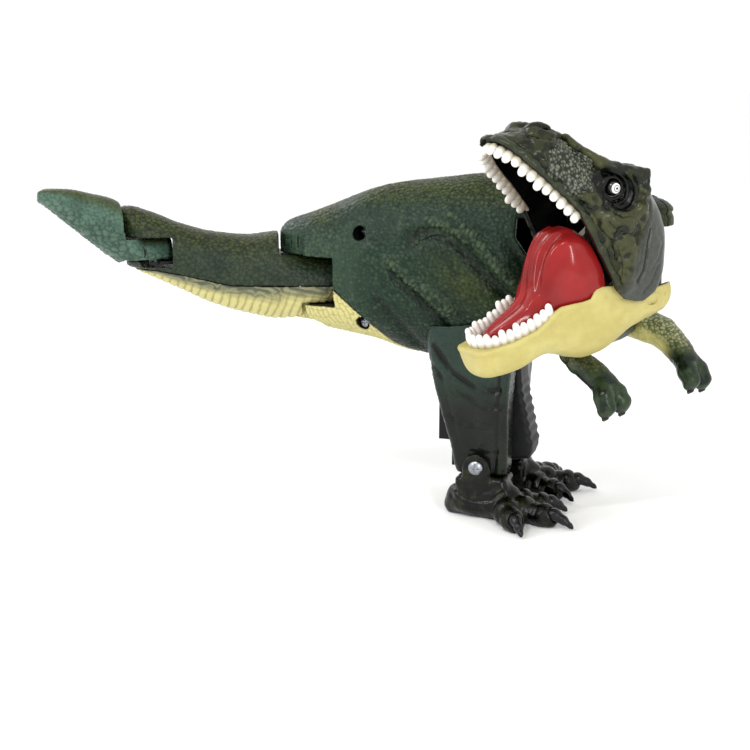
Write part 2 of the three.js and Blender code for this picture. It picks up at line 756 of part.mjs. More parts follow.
// neck rack: rear teeth on the sun gear, front teeth on the yoke pinion, with a jog up into the lobe
const YOKE_N = 10,
  YOKE_M = 0.5,
  rYoke = (YOKE_N * YOKE_M) / 2;
const rearTeeth = S(rackTeeth(SUN_M, -3.2, 7.4, 120.2, 122.8, 1.3)).rotate([0, 0, 180]).translate([0, rSun, 0]);
const frontTeeth = S(rackTeeth(YOKE_M, -7.2, 2.2, 130, 132.4, 1.1)).translate([NECK_LENGTH, -rYoke, 0]);
const neckRack = add(
  rearTeeth,
  frontTeeth,
  prismZ(
    [
      [2.8, rSun + 0.7],
      [4.6, 7.8],
      [6.5, 6.3],
      [10, 3.6],
      [16.9, -1.0],
      [18.5, -1.0],
      [18.5, 0.9],
      [10.6, 5.6],
      [6.2, 7.4],
      [3.5, rSun + 1.3],
      [2.8, rSun + 1.3],
    ],
    120.2,
    122.8,
  ),
  box(16.9, 18.5, -1.0, 0.9, 120.2, 132.4),
  prismZ(
    [
      [16.9, -1.0],
      [27.5, -3.6],
      [29.5, -3.6],
      [29.5, -3.0],
      [27.5, -2.4],
      [18.5, 0.6],
      [16.9, 0.6],
    ],
    130,
    132.4,
  ),
);
put(neck, "neck_rack", main(neckRack), COL.nylon);

// chest with the arms, keyed to the lower end of the shaft
const chestSt = [
  // x, top, bottom, half width
  [-17.5, 84.5, 75, 9],
  [-14, 85.8, 72.5, 15],
  [-4, 86.6, 71, 19],
  [6, 86.8, 72, 20],
  [13, 86.7, 74.5, 19.4],
  [18.5, 86.2, 78, 16.5],
  [22, 84.8, 81, 10],
];
const chestOuter = S(loftX(chestSt, 18));
const chestInner = S(loftX(chestSt.slice(1, -1).map(([x, t, b, w]) => [x, t - 2, b + 2, w - 2]), 18));
let chest = cut(chestOuter, chestInner);
chest = add(chest, both(chestOuter, cylZ(0, 0, 78, 86, 6, 16)));
chest = cut(chest, cylZ(0, 0, 82.6, 90, 2.7, 16), cylZ(0, 0, 77, 82.8, 4.9, 16), cylZ(0, 0, 60, 74, 3, 12));
for (const s of [1, -1])
  chest = cut(chest, s > 0 ? cylY(10, 80, 12, 30, 3.2, 12) : cylY(10, 80, -30, -12, 3.2, 12));
put(neck, "chest_shell", main(chest), COL.cream);
for (const s of [1, -1]) {
  const y = (v) => v * s;
  // the right arm, under the head when it is turned back, is lower than the left one
  const dz = s > 0 ? 3.8 : 0;
  const upper =
    s > 0
      ? [
          [12, 20.6, 80.4, 4.4],
          [19.5, 23.3, 81, 6.4],
          [26, 24.6, 79.3, 6.1],
          [31.5, 24.7, 76, 5.4],
          [36, 24.5, 72.6, 5],
          [39.6, 24.4, 69, 5],
        ]
      : [
          [12, -20.6, 78.2, 3.9],
          [19, -22.8, 74.8, 4.6],
          [25, -24.2, 72.6, 4.7],
          [31, -24.6, 70.8, 4.8],
          [36, -24.5, 69, 5],
          [39.8, -24.4, 65.5, 5.1],
        ];
  const arm = add(
    limb(
      [
        [10, y(15), 80, 2.9],
        [10.5, y(21), 80, 2.9],
      ],
      10,
    ),
    limb(upper, 10),
    limb(
      [
        [40, y(22.2), 65.5 + dz, 3.8],
        [43, y(21), 61.8 + dz, 4.2],
        [45.4, y(20.4), 58.6 + dz, 3.8],
        [45, y(20.2), 56.2 + dz, 2.4],
      ],
      8,
    ),
    limb(
      [
        [40, y(26.4), 65.5 + dz, 3.8],
        [43, y(28), 61.3 + dz, 4.2],
        [44.8, y(28.7), 57.8 + dz, 3.8],
        [44.2, y(28.9), 55.4 + dz, 2.4],
      ],
      8,
    ),
  );
  put(neck, `arm_${s > 0 ? "left" : "right"}`, main(cut(arm, both(chestOuter, box(-50, 60, -60, 60, 0, 200)).subtract(S(s > 0 ? cylY(10, 80, 8, 40, 3.0, 12) : cylY(10, 80, -40, -8, 3.0, 12))))), COL.darkgreen);
}

// head pin with the fixed jaw pinion (10 teeth of module 0.7)
const PIN_N = 10,
  PIN_M = 0.7,
  rPin = (PIN_N * PIN_M) / 2;
put(
  neck,
  "head_pin",
  add(
    cylZ(NECK_LENGTH, 0, 101, 126.5, 1.5, 12),
    cylZ(NECK_LENGTH, 0, 126, 136, 1.0, 12),
    gear(PIN_N, PIN_M, 114.4, 118.6, -90 + HEAD_YAW * -1).translate([NECK_LENGTH, 0, 0]),
  ),
  COL.steel,
  0.8,
);

// ---------------------------------------------------------------- head yoke (local x from the head pin)
const RZ = PALATE_Z + 0.5; // middle height of the jaw rack
const rSk = 12,
  rJw = 13;
let yoke = add(
  cylZ(0, 0, 101.6, 126.4, 6.4, 20),
  box(0, 27, 1.0, 6.4, 106, 126.4),
  box(16, 27, -12.5, 6.4, 121, 126.4),
  box(14, 26, 1.0, 17.5, 121, 126.4),
  box(14, 26, 14.5, 17.5, 121, 134),
  box(16, 27, -12.5, -9.6, 121, 134),
  box(1, 13, 1.0, 6.4, 97, 108),
);
yoke = cut(
  yoke,
  cylZ(0, 0, 90, 130, 1.8, 14),
  cylZ(0, 0, 113.9, 119.1, 4.5, 16),
  box(-12, 40, -12, -0.5, 113.9, 119.1),
  cylY(SKULL_PIVOT[0], PALATE_Z + SKULL_PIVOT[1], -30, 30, 1.75, 12),
  cylY(JAW_PIVOT[0], PALATE_Z + JAW_PIVOT[1], -30, 30, 1.75, 12),
  cylY(SKULL_PIVOT[0], PALATE_Z + SKULL_PIVOT[1], -9.4, -4.6, 13.2, 24),
  cylY(JAW_PIVOT[0], PALATE_Z + JAW_PIVOT[1], -9.4, -0.5, 13.9, 24),
);
put(head, "head_yoke", main(yoke), COL.black);
put(
  head,
  "yoke_pinion",
  cut(
    add(gear(YOKE_N, YOKE_M, 130, 132.4, -90 + HEAD_YAW), cylZ(0, 0, 126.8, 130.2, 1.95, 14)),
    cylZ(0, 0, 120, 134, 1.3, 12),
  ),
  COL.nylon,
);
put(head, "skull_pin", cylY(SKULL_PIVOT[0], PALATE_Z + SKULL_PIVOT[1], -15, 19.5, 1.5, 12), COL.steel, 0.8);
put(head, "jaw_pin", cylY(JAW_PIVOT[0], PALATE_Z + JAW_PIVOT[1], -9.6, 12.5, 1.5, 12), COL.steel, 0.8);
// jaw rack: side teeth on the pin, top teeth to the skull sector, bottom teeth to the jaw sector
const rackTop = S(rackTeeth(1, -2.6, 9, 5, 9, 2.0)).rotate([90, 0, 0]).translate([SKULL_PIVOT[0], 0, RZ + 1.5]);
const rackBottom = S(rackTeeth(1, -9, 2.6, -9, -5, 2.0)).rotate([-90, 0, 0]).translate([JAW_PIVOT[0], 0, RZ - 1.5]);
const rackSide = S(rackTeeth(PIN_M, -1.7, 8.4, RZ - 1.6, RZ + 1.6, 1.3)).translate([0, -rPin, 0]);
put(
  head,
  "jaw_rack",
  main(add(rackTop, rackBottom, rackSide, box(4.4, 29, -9, -5, RZ - 0.6, RZ + 0.6), box(-1.7, 8.4, -5.2, -4.5, RZ - 0.6, RZ + 0.6))),
  COL.nylon,
);

// ---------------------------------------------------------------- skull (local: from the skull pivot, palate level)
const sk = (x) => x - SKULL_PIVOT[0];
const sz = (z) => z - SKULL_PIVOT[1];
const SKULL = [
  // x, top, bottom, half width
  [-3, 10, -6, 22.4],
  [0.5, 17, -9, 23.2],
  [7, 26.5, -12.5, 23.7],
  [15, 31, -12, 24],
  [25, 33.5, -7, 23.6],
  [34, 31.5, -2.5, 22.4],
  [44, 27, 2.5, 21.4],
  [56, 25.5, 4, 18.6],
  [68, 23.5, 5.5, 15.8],
  [78, 19.5, 7, 12],
  [84, 13.5, 8, 7],
];
const skullStations = SKULL.map(([x, t, b, w]) => [sk(x), sz(t), sz(b - 14), w, 2.6]);
const skullOuterFull = S(loftX(skullStations, 20));
const lipLine = (pts) => prismY(pts, -60, 60);
// everything under the lip line is open
const underLip = lipLine([
  [sk(-30), sz(-80)],
  [sk(-30), sz(3)],
  [sk(-3.8), sz(3)],
  [sk(1), sz(-8.6)],
  [sk(4), sz(-10.4)],
  [sk(8), sz(-12.2)],
  [sk(14), sz(-11.6)],
  [sk(24), sz(-7)],
  [sk(36), sz(-1.5)],
  [sk(46), sz(3)],
  [sk(66), sz(5.4)],
  [sk(84), sz(8.2)],
  [sk(120), sz(8.2)],
  [sk(120), sz(-80)],
]);
const skullInner = S(
  loftX(
    [
      [sk(-8), sz(6), sz(-40), 20, 2.6],
      ...SKULL.slice(0, -1).map(([x, t, b, w]) => [sk(x), sz(t - 2), sz(b - 13), w - 2, 2.6]),
      [sk(81.5), sz(12.5), sz(-20), 6, 2.6],
    ],
    20,
  ),
);
// room for the neck while the head swings and the mouth moves: the neck's outline at steps of the motion
const neckPlug = add(
  cylZ(0, 0, 126.6, 139.8, 10.4, 18),
  box(-NECK_LENGTH, 0, -10.1, 10.1, 112.3, 139.8),
  cylZ(-NECK_LENGTH, 0, 100.6, 128.3, 15.5, 20),
  cylZ(-NECK_LENGTH, 0, 87.4, 100.8, 17.1, 20),
  cylZ(-NECK_LENGTH, 0, 128.2, 147, 14.8, 20),
);
function passFor(pivot, openPitch, closedPitch, steps) {
  const list = [];
  for (let k = 0; k <= steps; k++) {
    const f = k / steps,
      pitch = openPitch + (closedPitch - openPitch) * f;
    list.push(
      neckPlug
        .rotate([0, 0, HEAD_YAW * (1 - f)])
        .translate([-pivot[0], 0, -(PALATE_Z + pivot[1])])
        .rotate([0, pitch, 0]),
    );
  }
  return add(...list);
}
const SKULL_CLOSED = SKULL_OPEN - 30.33,
  JAW_CLOSED = -JAW_OPEN + 28.0;
const neckPass = passFor(SKULL_PIVOT, SKULL_OPEN, SKULL_CLOSED, 8);
let skullShell = cut(skullOuterFull, skullInner, underLip, neckPass);
// eye sockets
for (const s of [1, -1])
  skullShell = cut(skullShell, s > 0 ? cylY(sk(38.2), sz(18.2), 17.5, 30, 3.4, 14) : cylY(sk(38.2), sz(18.2), -30, -17.5, 3.4, 14));
// bosses for the skull pin
skullShell = add(
  skullShell,
  cut(
    both(cylY(0, 0, 18.2, 30, 4.4, 14), skullOuterFull),
    cylY(0, 0, 10, 20.4, 1.9, 12),
  ),
  cut(
    both(cylY(0, 0, -30, -13.2, 4.4, 14), skullOuterFull),
    cylY(0, 0, -15.8, -10, 1.9, 12),
  ),
);
put(skull, "skull_shell", main(skullShell), COL.olive);
// teeth strips: a horseshoe root with rounded teeth
function toothRow(pts, width, zTop, zRoot, zTip, teethPerSide) {
  // pts: centre line from the left rear round the front to the right rear
  const curve = new THREE.CatmullRomCurve3(pts.map((p) => new THREE.Vector3(p[0], p[1], p[2])), false, "centripetal");
  const n = 24;
  const samples = curve.getSpacedPoints(n);
  const outl = [],
    inl = [];
  for (let i = 0; i <= n; i++) {
    const a = samples[Math.max(i - 1, 0)],
      b = samples[Math.min(i + 1, n)];
    const t = new THREE.Vector3(b.x - a.x, b.y - a.y, 0).normalize();
    const nx = t.y,
      ny = -t.x;
    outl.push([samples[i].x - (nx * width) / 2, samples[i].y - (ny * width) / 2, samples[i].z]);
    inl.push([samples[i].x + (nx * width) / 2, samples[i].y + (ny * width) / 2, samples[i].z]);
  }
  const rings = [];
  for (let i = 0; i <= n; i++)
    rings.push([
      [outl[i][0], outl[i][1], outl[i][2] + zTop],
      [inl[i][0], inl[i][1], inl[i][2] + zTop],
      [inl[i][0], inl[i][1], inl[i][2] + zRoot],
      [outl[i][0], outl[i][1], outl[i][2] + zRoot],
    ]);
  let s = S(skin(rings));
  const count = teethPerSide * 2;
  for (let k = 0; k < count; k++) {
    const p = curve.getPointAt((k + 0.5) / count);
    const t = curve.getTangentAt((k + 0.5) / count);
    const a = Math.atan2(t.y, t.x);
    const L = curve.getLength() / count;
    const g = new THREE.CylinderGeometry(0.5, 1, 1, 5);
    g.rotateX(Math.PI / 2);
    const h = Math.abs(zTip - zRoot) + 0.3;
    g.scale(L * 0.47, width * 0.42, h);
    if (zTip < zRoot) g.rotateX(Math.PI);
    g.rotateZ(a);
    g.translate(p.x, p.y, p.z + (zRoot + zTip) / 2 + (zTip < zRoot ? 0.15 : -0.15));
    s = s.add(S(g));
  }
  return s;
}
put(
  skull,
  "upper_teeth",
  toothRow(
    [
      [sk(43), 18.3, sz(1.9)],
      [sk(56), 15.4, sz(3.9)],
      [sk(68), 12.2, sz(5.0)],
      [sk(76.5), 8.0, sz(6.3)],
      [sk(80), 0, sz(7.0)],
      [sk(76.5), -8.0, sz(6.3)],
      [sk(68), -12.2, sz(5.0)],
      [sk(56), -15.4, sz(3.9)],
      [sk(43), -18.3, sz(1.9)],
    ],
    2.2,
    0.8,
    -1.0,
    -4.2,
    12,
  ).subtract(skullShell.add(S(box(-500, -499, 0, 1, 0, 1)))),
  COL.white,
);
for (const s of [1, -1])
  put(
    skull,
    `eye_${s > 0 ? "left" : "right"}`,
    (() => {
      const e = new THREE.SphereGeometry(3.0, 12, 8);
      e.translate(sk(38.2), 20.0 * s, sz(18.2));
      return both(S(e), s > 0 ? box(-60, 90, 17.8, 40, -60, 60) : box(-60, 90, -40, -17.8, -60, 60));
    })(),
    COL.white,
  );
// skull gear sector, teeth down onto the rack: 24 teeth of module 1
let skullSector = gear(24, 1, -9, -5, -90, { from: -106, to: -44, hub: 3.4, bore: 1.8 });
skullSector = turnToY(skullSector.rotate([0, 0, -SKULL_OPEN])).mirror([0, 1, 0]);
put(skull, "skull_sector", main(skullSector), COL.nylon);

// ---------------------------------------------------------------- lower jaw (local: from the jaw pivot)
const jx = (x) => x - JAW_PIVOT[0];
const jz = (z) => z - JAW_PIVOT[1];
const JAW = [
  // x, top, bottom, half width
  [-3, -7, -22.6, 16.4],
  [4, -4.6, -24.4, 18.8],
  [12, -3, -24.6, 19.6],
  [20, -2.6, -25, 19.8],
  [28, -2.6, -27.2, 19.6],
  [35, -3, -28.8, 19],
  [41, -3.4, -28.4, 18.4],
  [47, -3.8, -25.6, 17.6],
  [52.5, -4.4, -22, 16.8],
  [59, -5.4, -19.6, 16],
  [70, -7.4, -21.2, 13.4],
  [80, -8.4, -20.2, 10.6],
  [84.6, -9, -18.4, 8.2],
];
const jawOuter = S(loftX(JAW.map(([x, t, b, w]) => [jx(x), jz(t + 8), jz(b), w, 2.5]), 20));
const jawInner = S(
  loftX(
    [
      [jx(-8), jz(16), jz(-21), 15, 2.5],
      ...JAW.slice(1, -1).map(([x, t, b, w]) => [jx(x), jz(t + 24), jz(b + 2.2), w - 2.2, 2.5]),
    ],
    20,
  ),
);
const aboveLip = prismY(
  [
    [jx(-30), jz(60)],
    [jx(-30), jz(-12.4)],
    [jx(-3), jz(-12.4)],
    [jx(10), jz(-10)],
    [jx(19), jz(-5.6)],
    [jx(25), jz(-2.8)],
    [jx(30), jz(-1)],
    [jx(33.4), jz(-0.8)],
    [jx(36.6), jz(-3.5)],
    [jx(40), jz(-3.4)],
    [jx(45), jz(-2.9)],
    [jx(49), jz(-2.4)],
    [jx(52), jz(-2.9)],
    [jx(56), jz(-4.4)],
    [jx(61), jz(-6.6)],
    [jx(70), jz(-7.8)],
    [jx(80), jz(-7.6)],
    [jx(86), jz(-6.6)],
    [jx(120), jz(-6.6)],
    [jx(120), jz(60)],
  ],
  -60,
  60,
);
const jawPass = passFor(JAW_PIVOT, -JAW_OPEN, JAW_CLOSED, 6);
let jawShell = cut(jawOuter, jawInner, aboveLip, jawPass);
// hinge ear around the jaw pin, inside the left wall, joined by a rib
jawShell = add(
  jawShell,
  cut(both(add(cylY(0, 0, 8.2, 17.5, 4.2, 14), prismY([[-3, 0], [3, 0], [4, jz(-24)], [-4, jz(-24)]], 8.2, 17.5)), jawOuter), cylY(0, 0, 4, 13.2, 1.9, 12)),
);
put(jaw, "lower_jaw", main(jawShell), COL.cream);
put(
  jaw,
  "lower_teeth",
  toothRow(
    [
      [jx(52.3), 14.45, jz(-3.3)],
      [jx(59), 13.4, jz(-6)],
      [jx(69), 10.9, jz(-7.6)],
      [jx(77.5), 7.4, jz(-7.6)],
      [jx(81.1), 0, jz(-7.35)],
      [jx(77.5), -7.4, jz(-7.6)],
      [jx(69), -10.9, jz(-7.6)],
      [jx(59), -13.4, jz(-6)],
      [jx(52.3), -14.45, jz(-3.3)],
    ],
    2.0,
    -0.6,
    1.0,
    4.7,
    12,
  ).subtract(jawShell),
  COL.white,
);
// tongue and throat lining, one glossy sheet: low and flat in front, rising at the back
const TONGUE = [
  // x, top centre, edge z, half width, thickness
  [30.5, 22, -2.5, 16.6],
  [35, 23.6, -4.5, 16.4],
  [41, 20.5, -5.5, 15.6],
  [47, 13.6, -7, 13.6],
  [53, 7.4, -8.4, 11],
  [60, 2.2, -9.4, 9],
  [69, -1, -10, 7],
  [76, -4.4, -9.6, 4],
];
function sheet(st, th) {
  const rings = st.map(([x, zc, ze, w]) => {
    const up = [],
      down = [];
    for (let i = 0; i <= 8; i++) {
      const u = -1 + (2 * i) / 8;
      const z = ze + (zc - ze) * Math.sqrt(Math.max(0, 1 - Math.abs(u) ** 3));
      up.push([jx(x), w * u, jz(z)]);
      down.push([jx(x), w * u * 0.92, jz(z - th - (zc - ze) * 0.05)]);
    }
    return [...up, ...down.reverse()];
  });
  return skin(rings);
}
put(jaw, "tongue_lining", main(cut(sheet(TONGUE, 1.8), jawShell)), COL.red);
// jaw gear sector, teeth up onto the rack: 26 teeth of module 1
let jawSector = gear(26, 1, -9, -5, 90, { from: 46, to: 106, hub: 3.4, bore: 1.8 });
jawSector = turnToY(jawSector.rotate([0, 0, JAW_OPEN])).mirror([0, 1, 0]);
put(jaw, "jaw_sector", main(jawSector), COL.nylon);

// crossed link: trunk peg on the left of its pin, tip peg on the right of its own
const linkA = [LINK_TRUNK * Math.cos(rad(90 - TAIL_YAW)), LINK_TRUNK * Math.sin(rad(90 - TAIL_YAW))];
const linkB = [
  -MID_LENGTH + LINK_TIP * Math.cos(rad(-90 + TIP_YAW)),
  LINK_TIP * Math.sin(rad(-90 + TIP_YAW)),
];
const linkLen = Math.hypot(linkA[0] - linkB[0], linkA[1] - linkB[1]);
const linkAng = deg(Math.atan2(linkA[1] - linkB[1], linkA[0] - linkB[0]));
const link = cut(
  add(cylZ(0, 0, 105, 106.2, 2.3, 14), cylZ(linkLen, 0, 105, 106.2, 2.4, 14), box(0, linkLen, -1.3, 1.3, 105, 106.2)),
  cylZ(0, 0, 104, 108, 1.3, 12),
  cylZ(linkLen, 0, 104, 108, 1.45, 12),
)
  .rotate([0, 0, linkAng])
  .translate([linkB[0], linkB[1], 0]);
const linkRoom = add(
  box(-3.5, linkLen, -3.0, 3.0, 104.5, 106.75),
  cylZ(linkLen, 0, 104.5, 106.75, 4.9, 16),
)
  .rotate([0, 0, linkAng])
  .translate([linkB[0], linkB[1], 0]);

// ---------------------------------------------------------------- tail, middle section (local x from the tail pin, backwards is -x)
const MID = [
  [14.5, 108.2, 88.3, 9, 2.4],
  [10, 108.2, 88.3, 14, 2.4],
  [0, 108.2, 83, 17.6, 2.4],
  [-12, 112, 80, 18.6, 2.3],
  [-19, 118.2, 79.8, 18.6, 2.2],
  [-32, 116.9, 82.2, 17.6, 2.2],
  [-48, 118.5, 87, 16, 2.2],
  [-62, 122.3, 93.5, 14.2, 2.2],
  [-75, 127.5, 99.5, 12.2, 2.2],
  [-84, 130, 103.5, 9.6, 2.2],
  [-88, 130, 106, 6, 2.2],
];
const midSolid = both(
  loftX(MID, 18),
  add(cylZ(0, 0, 87.9, 108.5, 14.6, 24), box(-100, -8, -40, 40, 70, 140)),
  cut(box(-100, 20, -40, 40, 70, 140), box(-9, 20, -40, 40, 60, 88.0), cut(box(-18.4, 30, -40, 40, 108.6, 150))),
);
const midFull = cut(
  midSolid,
  cut(cylZ(0, 0, 108.6, 150, 18.3, 28)),
  both(cylZ(0, 0, 60, 88.0, 13.7, 24), box(-20, 20, -30, 30, 60, 88.0)),
);
const midHollow = S(
  loftX(
    MID.slice(1).map(([x, t, b, w, e], i, a) => [i === 0 ? 12.4 : x, t - WALL, Math.max(b + WALL, i < 2 ? 90.3 : 0), (i === 0 ? 10.5 : w) - WALL, e]).slice(0, -1),
    18,
  ),
);
let midShell = cut(midFull, midHollow);
midShell = add(midShell, both(midFull, box(-21, 16, -40, 40, 106.6, 108.4)), both(midFull, cylZ(0, 0, 70, 103.4, 4.8, 16)));
// slot for the tip's tongue between the mid section's upper and lower lobe
const MIDLOBE = { low: 103.9, high: 116.9 };
midShell = add(
  midShell,
  both(midFull, box(-100, -58, -40, 40, MIDLOBE.high, MIDLOBE.high + 1.6)),
  both(midFull, box(-90, -58, -40, 40, MIDLOBE.low - 1.6, MIDLOBE.low)),
);
midShell = cut(
  midShell,
  box(-110, -64.8, -40, 40, MIDLOBE.low, MIDLOBE.high),
  cut(box(-110, -MID_LENGTH, -40, 40, 110, 150), cylZ(-MID_LENGTH, 0, 109, 151, 12.5, 24)),
  cut(box(-110, -MID_LENGTH, -40, 40, 80, 110), cylZ(-MID_LENGTH, 0, 79, 111, 10.5, 24)),
  cylZ(0, 0, 70, 120, 2.3, 16),
  cylZ(-MID_LENGTH, 0, 100, 125.4, 1.8, 12),
);
// channel for the link and a curved slot in the tongue's roof for the trunk's link peg
midShell = cut(
  midShell,
  linkRoom,
  both(
    cut(cylZ(0, 0, 104, 112, LINK_TRUNK + 1.5, 24), cylZ(0, 0, 103, 113, LINK_TRUNK - 1.5, 18)),
    prismZ(
      [
        [0, 0],
        [12 * Math.cos(rad(48)), 12 * Math.sin(rad(48))],
        [0, 14],
        [12 * Math.cos(rad(108)), 12 * Math.sin(rad(108))],
      ],
      104,
      112,
    ),
  ),
);
const creamWedge = prismY(
  [
    [30, 60],
    [30, 95],
    [-40, 96],
    [-58, 100],
    [-72, 102.3],
    [-110, 103.8],
    [-110, 60],
  ],
  -40,
  40,
);
const creamGap = prismY(
  [
    [30, 59],
    [30, 95 + GAP],
    [-40, 96 + GAP],
    [-58, 100 + GAP],
    [-72, 102.3 + GAP],
    [-110, 103.8 + GAP],
    [-110, 59],
  ],
  -41,
  41,
);
put(tailMid, "tail_mid_upper", main(cut(midShell, creamGap)), COL.green);
put(tailMid, "tail_mid_lower", main(both(midShell, creamWedge)), COL.cream);
put(
  tailMid,
  "tail_gear",
  cut(add(gear(tailGearTeeth, 1.5, 112.4, 116.4, -90 - TAIL_YAW), cylZ(0, 0, 108.7, 112.6, 3.3, 16)), cylZ(0, 0, 100, 120, 2.3, 16)),
  COL.nylon,
);
put(root, "tail_pin", add(cylZ(TAIL_X, 0, 84.4, 122.2, 2.0, 14)), COL.steel, 0.8);
put(
  tailMid,
  "tail_tip_pin", cylZ(-MID_LENGTH, 0, 100.4, 125, 1.5, 12),
  COL.steel,
  0.8,
);

// ---------------------------------------------------------------- tail tip (local x from its pin)
const TIP = [
  [9, 116, 104.6, 5, 2.4],
  [6, 116.2, 104.4, 8, 2.4],
  [-4, 116.4, 104.3, 10.4, 2.3],
  [-10, 124, 104.2, 11.2, 2.2],
  [-14, 132.4, 105.6, 11, 2.2],
  [-26, 136, 114, 9, 2.2],
  [-38, 138.5, 124, 6.6, 2.2],
  [-47, 138.5, 131, 4.2, 2.2],
  [-51, 137.3, 133.4, 1.8, 2.2],
];
let tip = both(loftX(TIP, 16), cut(box(-60, 12, -30, 30, 90, 150), cylZ(0, 0, 116.6, 150, 13.1, 24)));
tip = both(tip, add(cylZ(0, 0, 100, 117, 10.6, 24), box(-60, -5, -30, 30, 90, 150)));
tip = cut(tip, cylZ(0, 0, 100, 120, 1.8, 12), cylZ(0, 0, 103, 107, 14, 20));
tip = tip.add(S(cylZ(0, -LINK_TIP, 104.5, 108, 1.0, 10)));
put(tailTip, "tail_tip", main(tip), COL.green);
put(tailMid, "tail_link", link, COL.nylon);

export default root;
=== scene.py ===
import bpy
import math
import numpy as np
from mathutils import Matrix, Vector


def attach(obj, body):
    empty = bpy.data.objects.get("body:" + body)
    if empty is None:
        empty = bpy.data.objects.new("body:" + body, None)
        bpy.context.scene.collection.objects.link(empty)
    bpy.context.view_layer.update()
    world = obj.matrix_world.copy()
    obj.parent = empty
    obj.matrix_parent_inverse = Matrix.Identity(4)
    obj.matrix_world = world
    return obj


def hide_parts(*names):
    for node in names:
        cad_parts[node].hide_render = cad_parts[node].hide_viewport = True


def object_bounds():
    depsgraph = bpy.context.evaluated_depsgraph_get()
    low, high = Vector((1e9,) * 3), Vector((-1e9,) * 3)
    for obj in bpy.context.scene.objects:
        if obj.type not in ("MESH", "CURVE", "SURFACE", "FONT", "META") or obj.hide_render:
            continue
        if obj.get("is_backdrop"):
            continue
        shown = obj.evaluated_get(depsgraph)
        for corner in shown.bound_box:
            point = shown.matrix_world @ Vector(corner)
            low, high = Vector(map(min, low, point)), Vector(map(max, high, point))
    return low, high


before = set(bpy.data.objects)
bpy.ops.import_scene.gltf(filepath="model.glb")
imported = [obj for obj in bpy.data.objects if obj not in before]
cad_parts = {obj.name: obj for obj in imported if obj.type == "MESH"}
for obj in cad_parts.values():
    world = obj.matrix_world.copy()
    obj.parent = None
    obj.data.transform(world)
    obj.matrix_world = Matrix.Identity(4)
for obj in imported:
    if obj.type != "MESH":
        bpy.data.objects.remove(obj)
cad_lo, cad_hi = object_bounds()
MM = 0.001
rad = math.radians

# ---------------------------------------------------------------- camera
az, el = rad(18), rad(12)
back = np.array([math.sin(az) * math.cos(el), -math.cos(az) * math.cos(el), math.sin(el)])
target = np.array([-43.4, -32.4, 61.1])
cam = bpy.data.objects.new("camera", bpy.data.cameras.new("camera"))
bpy.context.scene.collection.objects.link(cam)
cam.data.sensor_width = 36
cam.data.lens = 65.4
cam.data.clip_start, cam.data.clip_end = 0.01, 100
from mathutils import Matrix, Vector

cam.location = Vector((target + 580 * back) * MM)
cam.rotation_mode = "QUATERNION"
cam.rotation_quaternion = Vector(-back).to_track_quat("-Z", "Y")
bpy.context.scene.camera = cam


# ---------------------------------------------------------------- distance fields
def smin(a, b, k):
    h = np.clip(0.5 + 0.5 * (b - a) / k, 0, 1)
    return b + (a - b) * h - k * h * (1 - h)


def smax(a, b, k=0.5):
    return -smin(-a, -b, k)


def sstep(a, b, x):
    t = np.clip((x - a) / (b - a), 0, 1)
    return t * t * (3 - 2 * t)


def mix(a, b, t):
    return a + (b - a) * t


def pchip(x, y, q):
    h = np.diff(x)
    d = np.diff(y) / h
    m = np.zeros(len(x))
    m[0], m[-1] = d[0], d[-1]
    for i in range(1, len(x) - 1):
        if d[i - 1] * d[i] > 0:
            w1, w2 = 2 * h[i] + h[i - 1], h[i] + 2 * h[i - 1]
            m[i] = (w1 + w2) / (w1 / d[i - 1] + w2 / d[i])
    k = np.clip(np.searchsorted(x, q) - 1, 0, len(x) - 2)
    t = (q - x[k]) / h[k]
    return (
        (2 * t**3 - 3 * t**2 + 1) * y[k]
        + (t**3 - 2 * t**2 + t) * h[k] * m[k]
        + (3 * t**2 - 2 * t**3) * y[k + 1]
        + (t**3 - t**2) * h[k] * m[k + 1]
    )


class Loft:
    """Superellipse rings across x: rows of x, top, bottom, half width."""

    def __init__(self, rows, e=2.3, cap=3.0):
        st = np.array(sorted([r[:4] for r in rows]), float)
        self.q = np.linspace(st[0, 0], st[-1, 0], 600)
        self.T, self.B, self.W = [pchip(st[:, 0], st[:, k], self.q) for k in (1, 2, 3)]
        self.H, self.C = (self.T - self.B) / 2, (self.T + self.B) / 2
        self.dH, self.dC, self.dW = [np.gradient(a, self.q) for a in (self.H, self.C, self.W)]
        self.e, self.cap = e, cap

    def __call__(self, X, Y, Z, grow=0.0):
        e = self.e
        x = np.clip(X, self.q[0], self.q[-1])
        at = lambda a: np.interp(x, self.q, a)
        hh, zc, w = at(self.H) + grow, at(self.C), at(self.W) + grow
        u, v = np.abs(Y) / w, np.abs(Z - zc) / hh
        ue, ve = u ** (e - 1), v ** (e - 1)
        r = np.maximum((ue * u + ve * v) ** (1 / e), 0.05)
        re = r ** (e - 1)
        gu, gv = ue / re / w, ve / re / hh
        gx = gu * u * at(self.dW) + gv * (v * at(self.dH) + np.sign(Z - zc) * at(self.dC))
        d = (r - 1) / np.sqrt(gu * gu + gv * gv + gx * gx + 1e-5)
        ends = np.maximum(self.q[0] - X, X - self.q[-1]) - grow
        return smax(d, ends, self.cap)


def cone(X, Y, Z, a, b):
    dx, dy, dz = b[0] - a[0], b[1] - a[1], b[2] - a[2]
    t = np.clip(((X - a[0]) * dx + (Y - a[1]) * dy + (Z - a[2]) * dz) / (dx * dx + dy * dy + dz * dz), 0, 1)
    return np.sqrt((X - a[0] - t * dx) ** 2 + (Y - a[1] - t * dy) ** 2 + (Z - a[2] - t * dz) ** 2) - (
        a[3] + (b[3] - a[3]) * t
    )


def limb(X, Y, Z, pts, k=1.5):
    d = cone(X, Y, Z, pts[0], pts[1])
    for a, b in zip(pts[1:], pts[2:]):
        d = smin(d, cone(X, Y, Z, a, b), k)
    return d


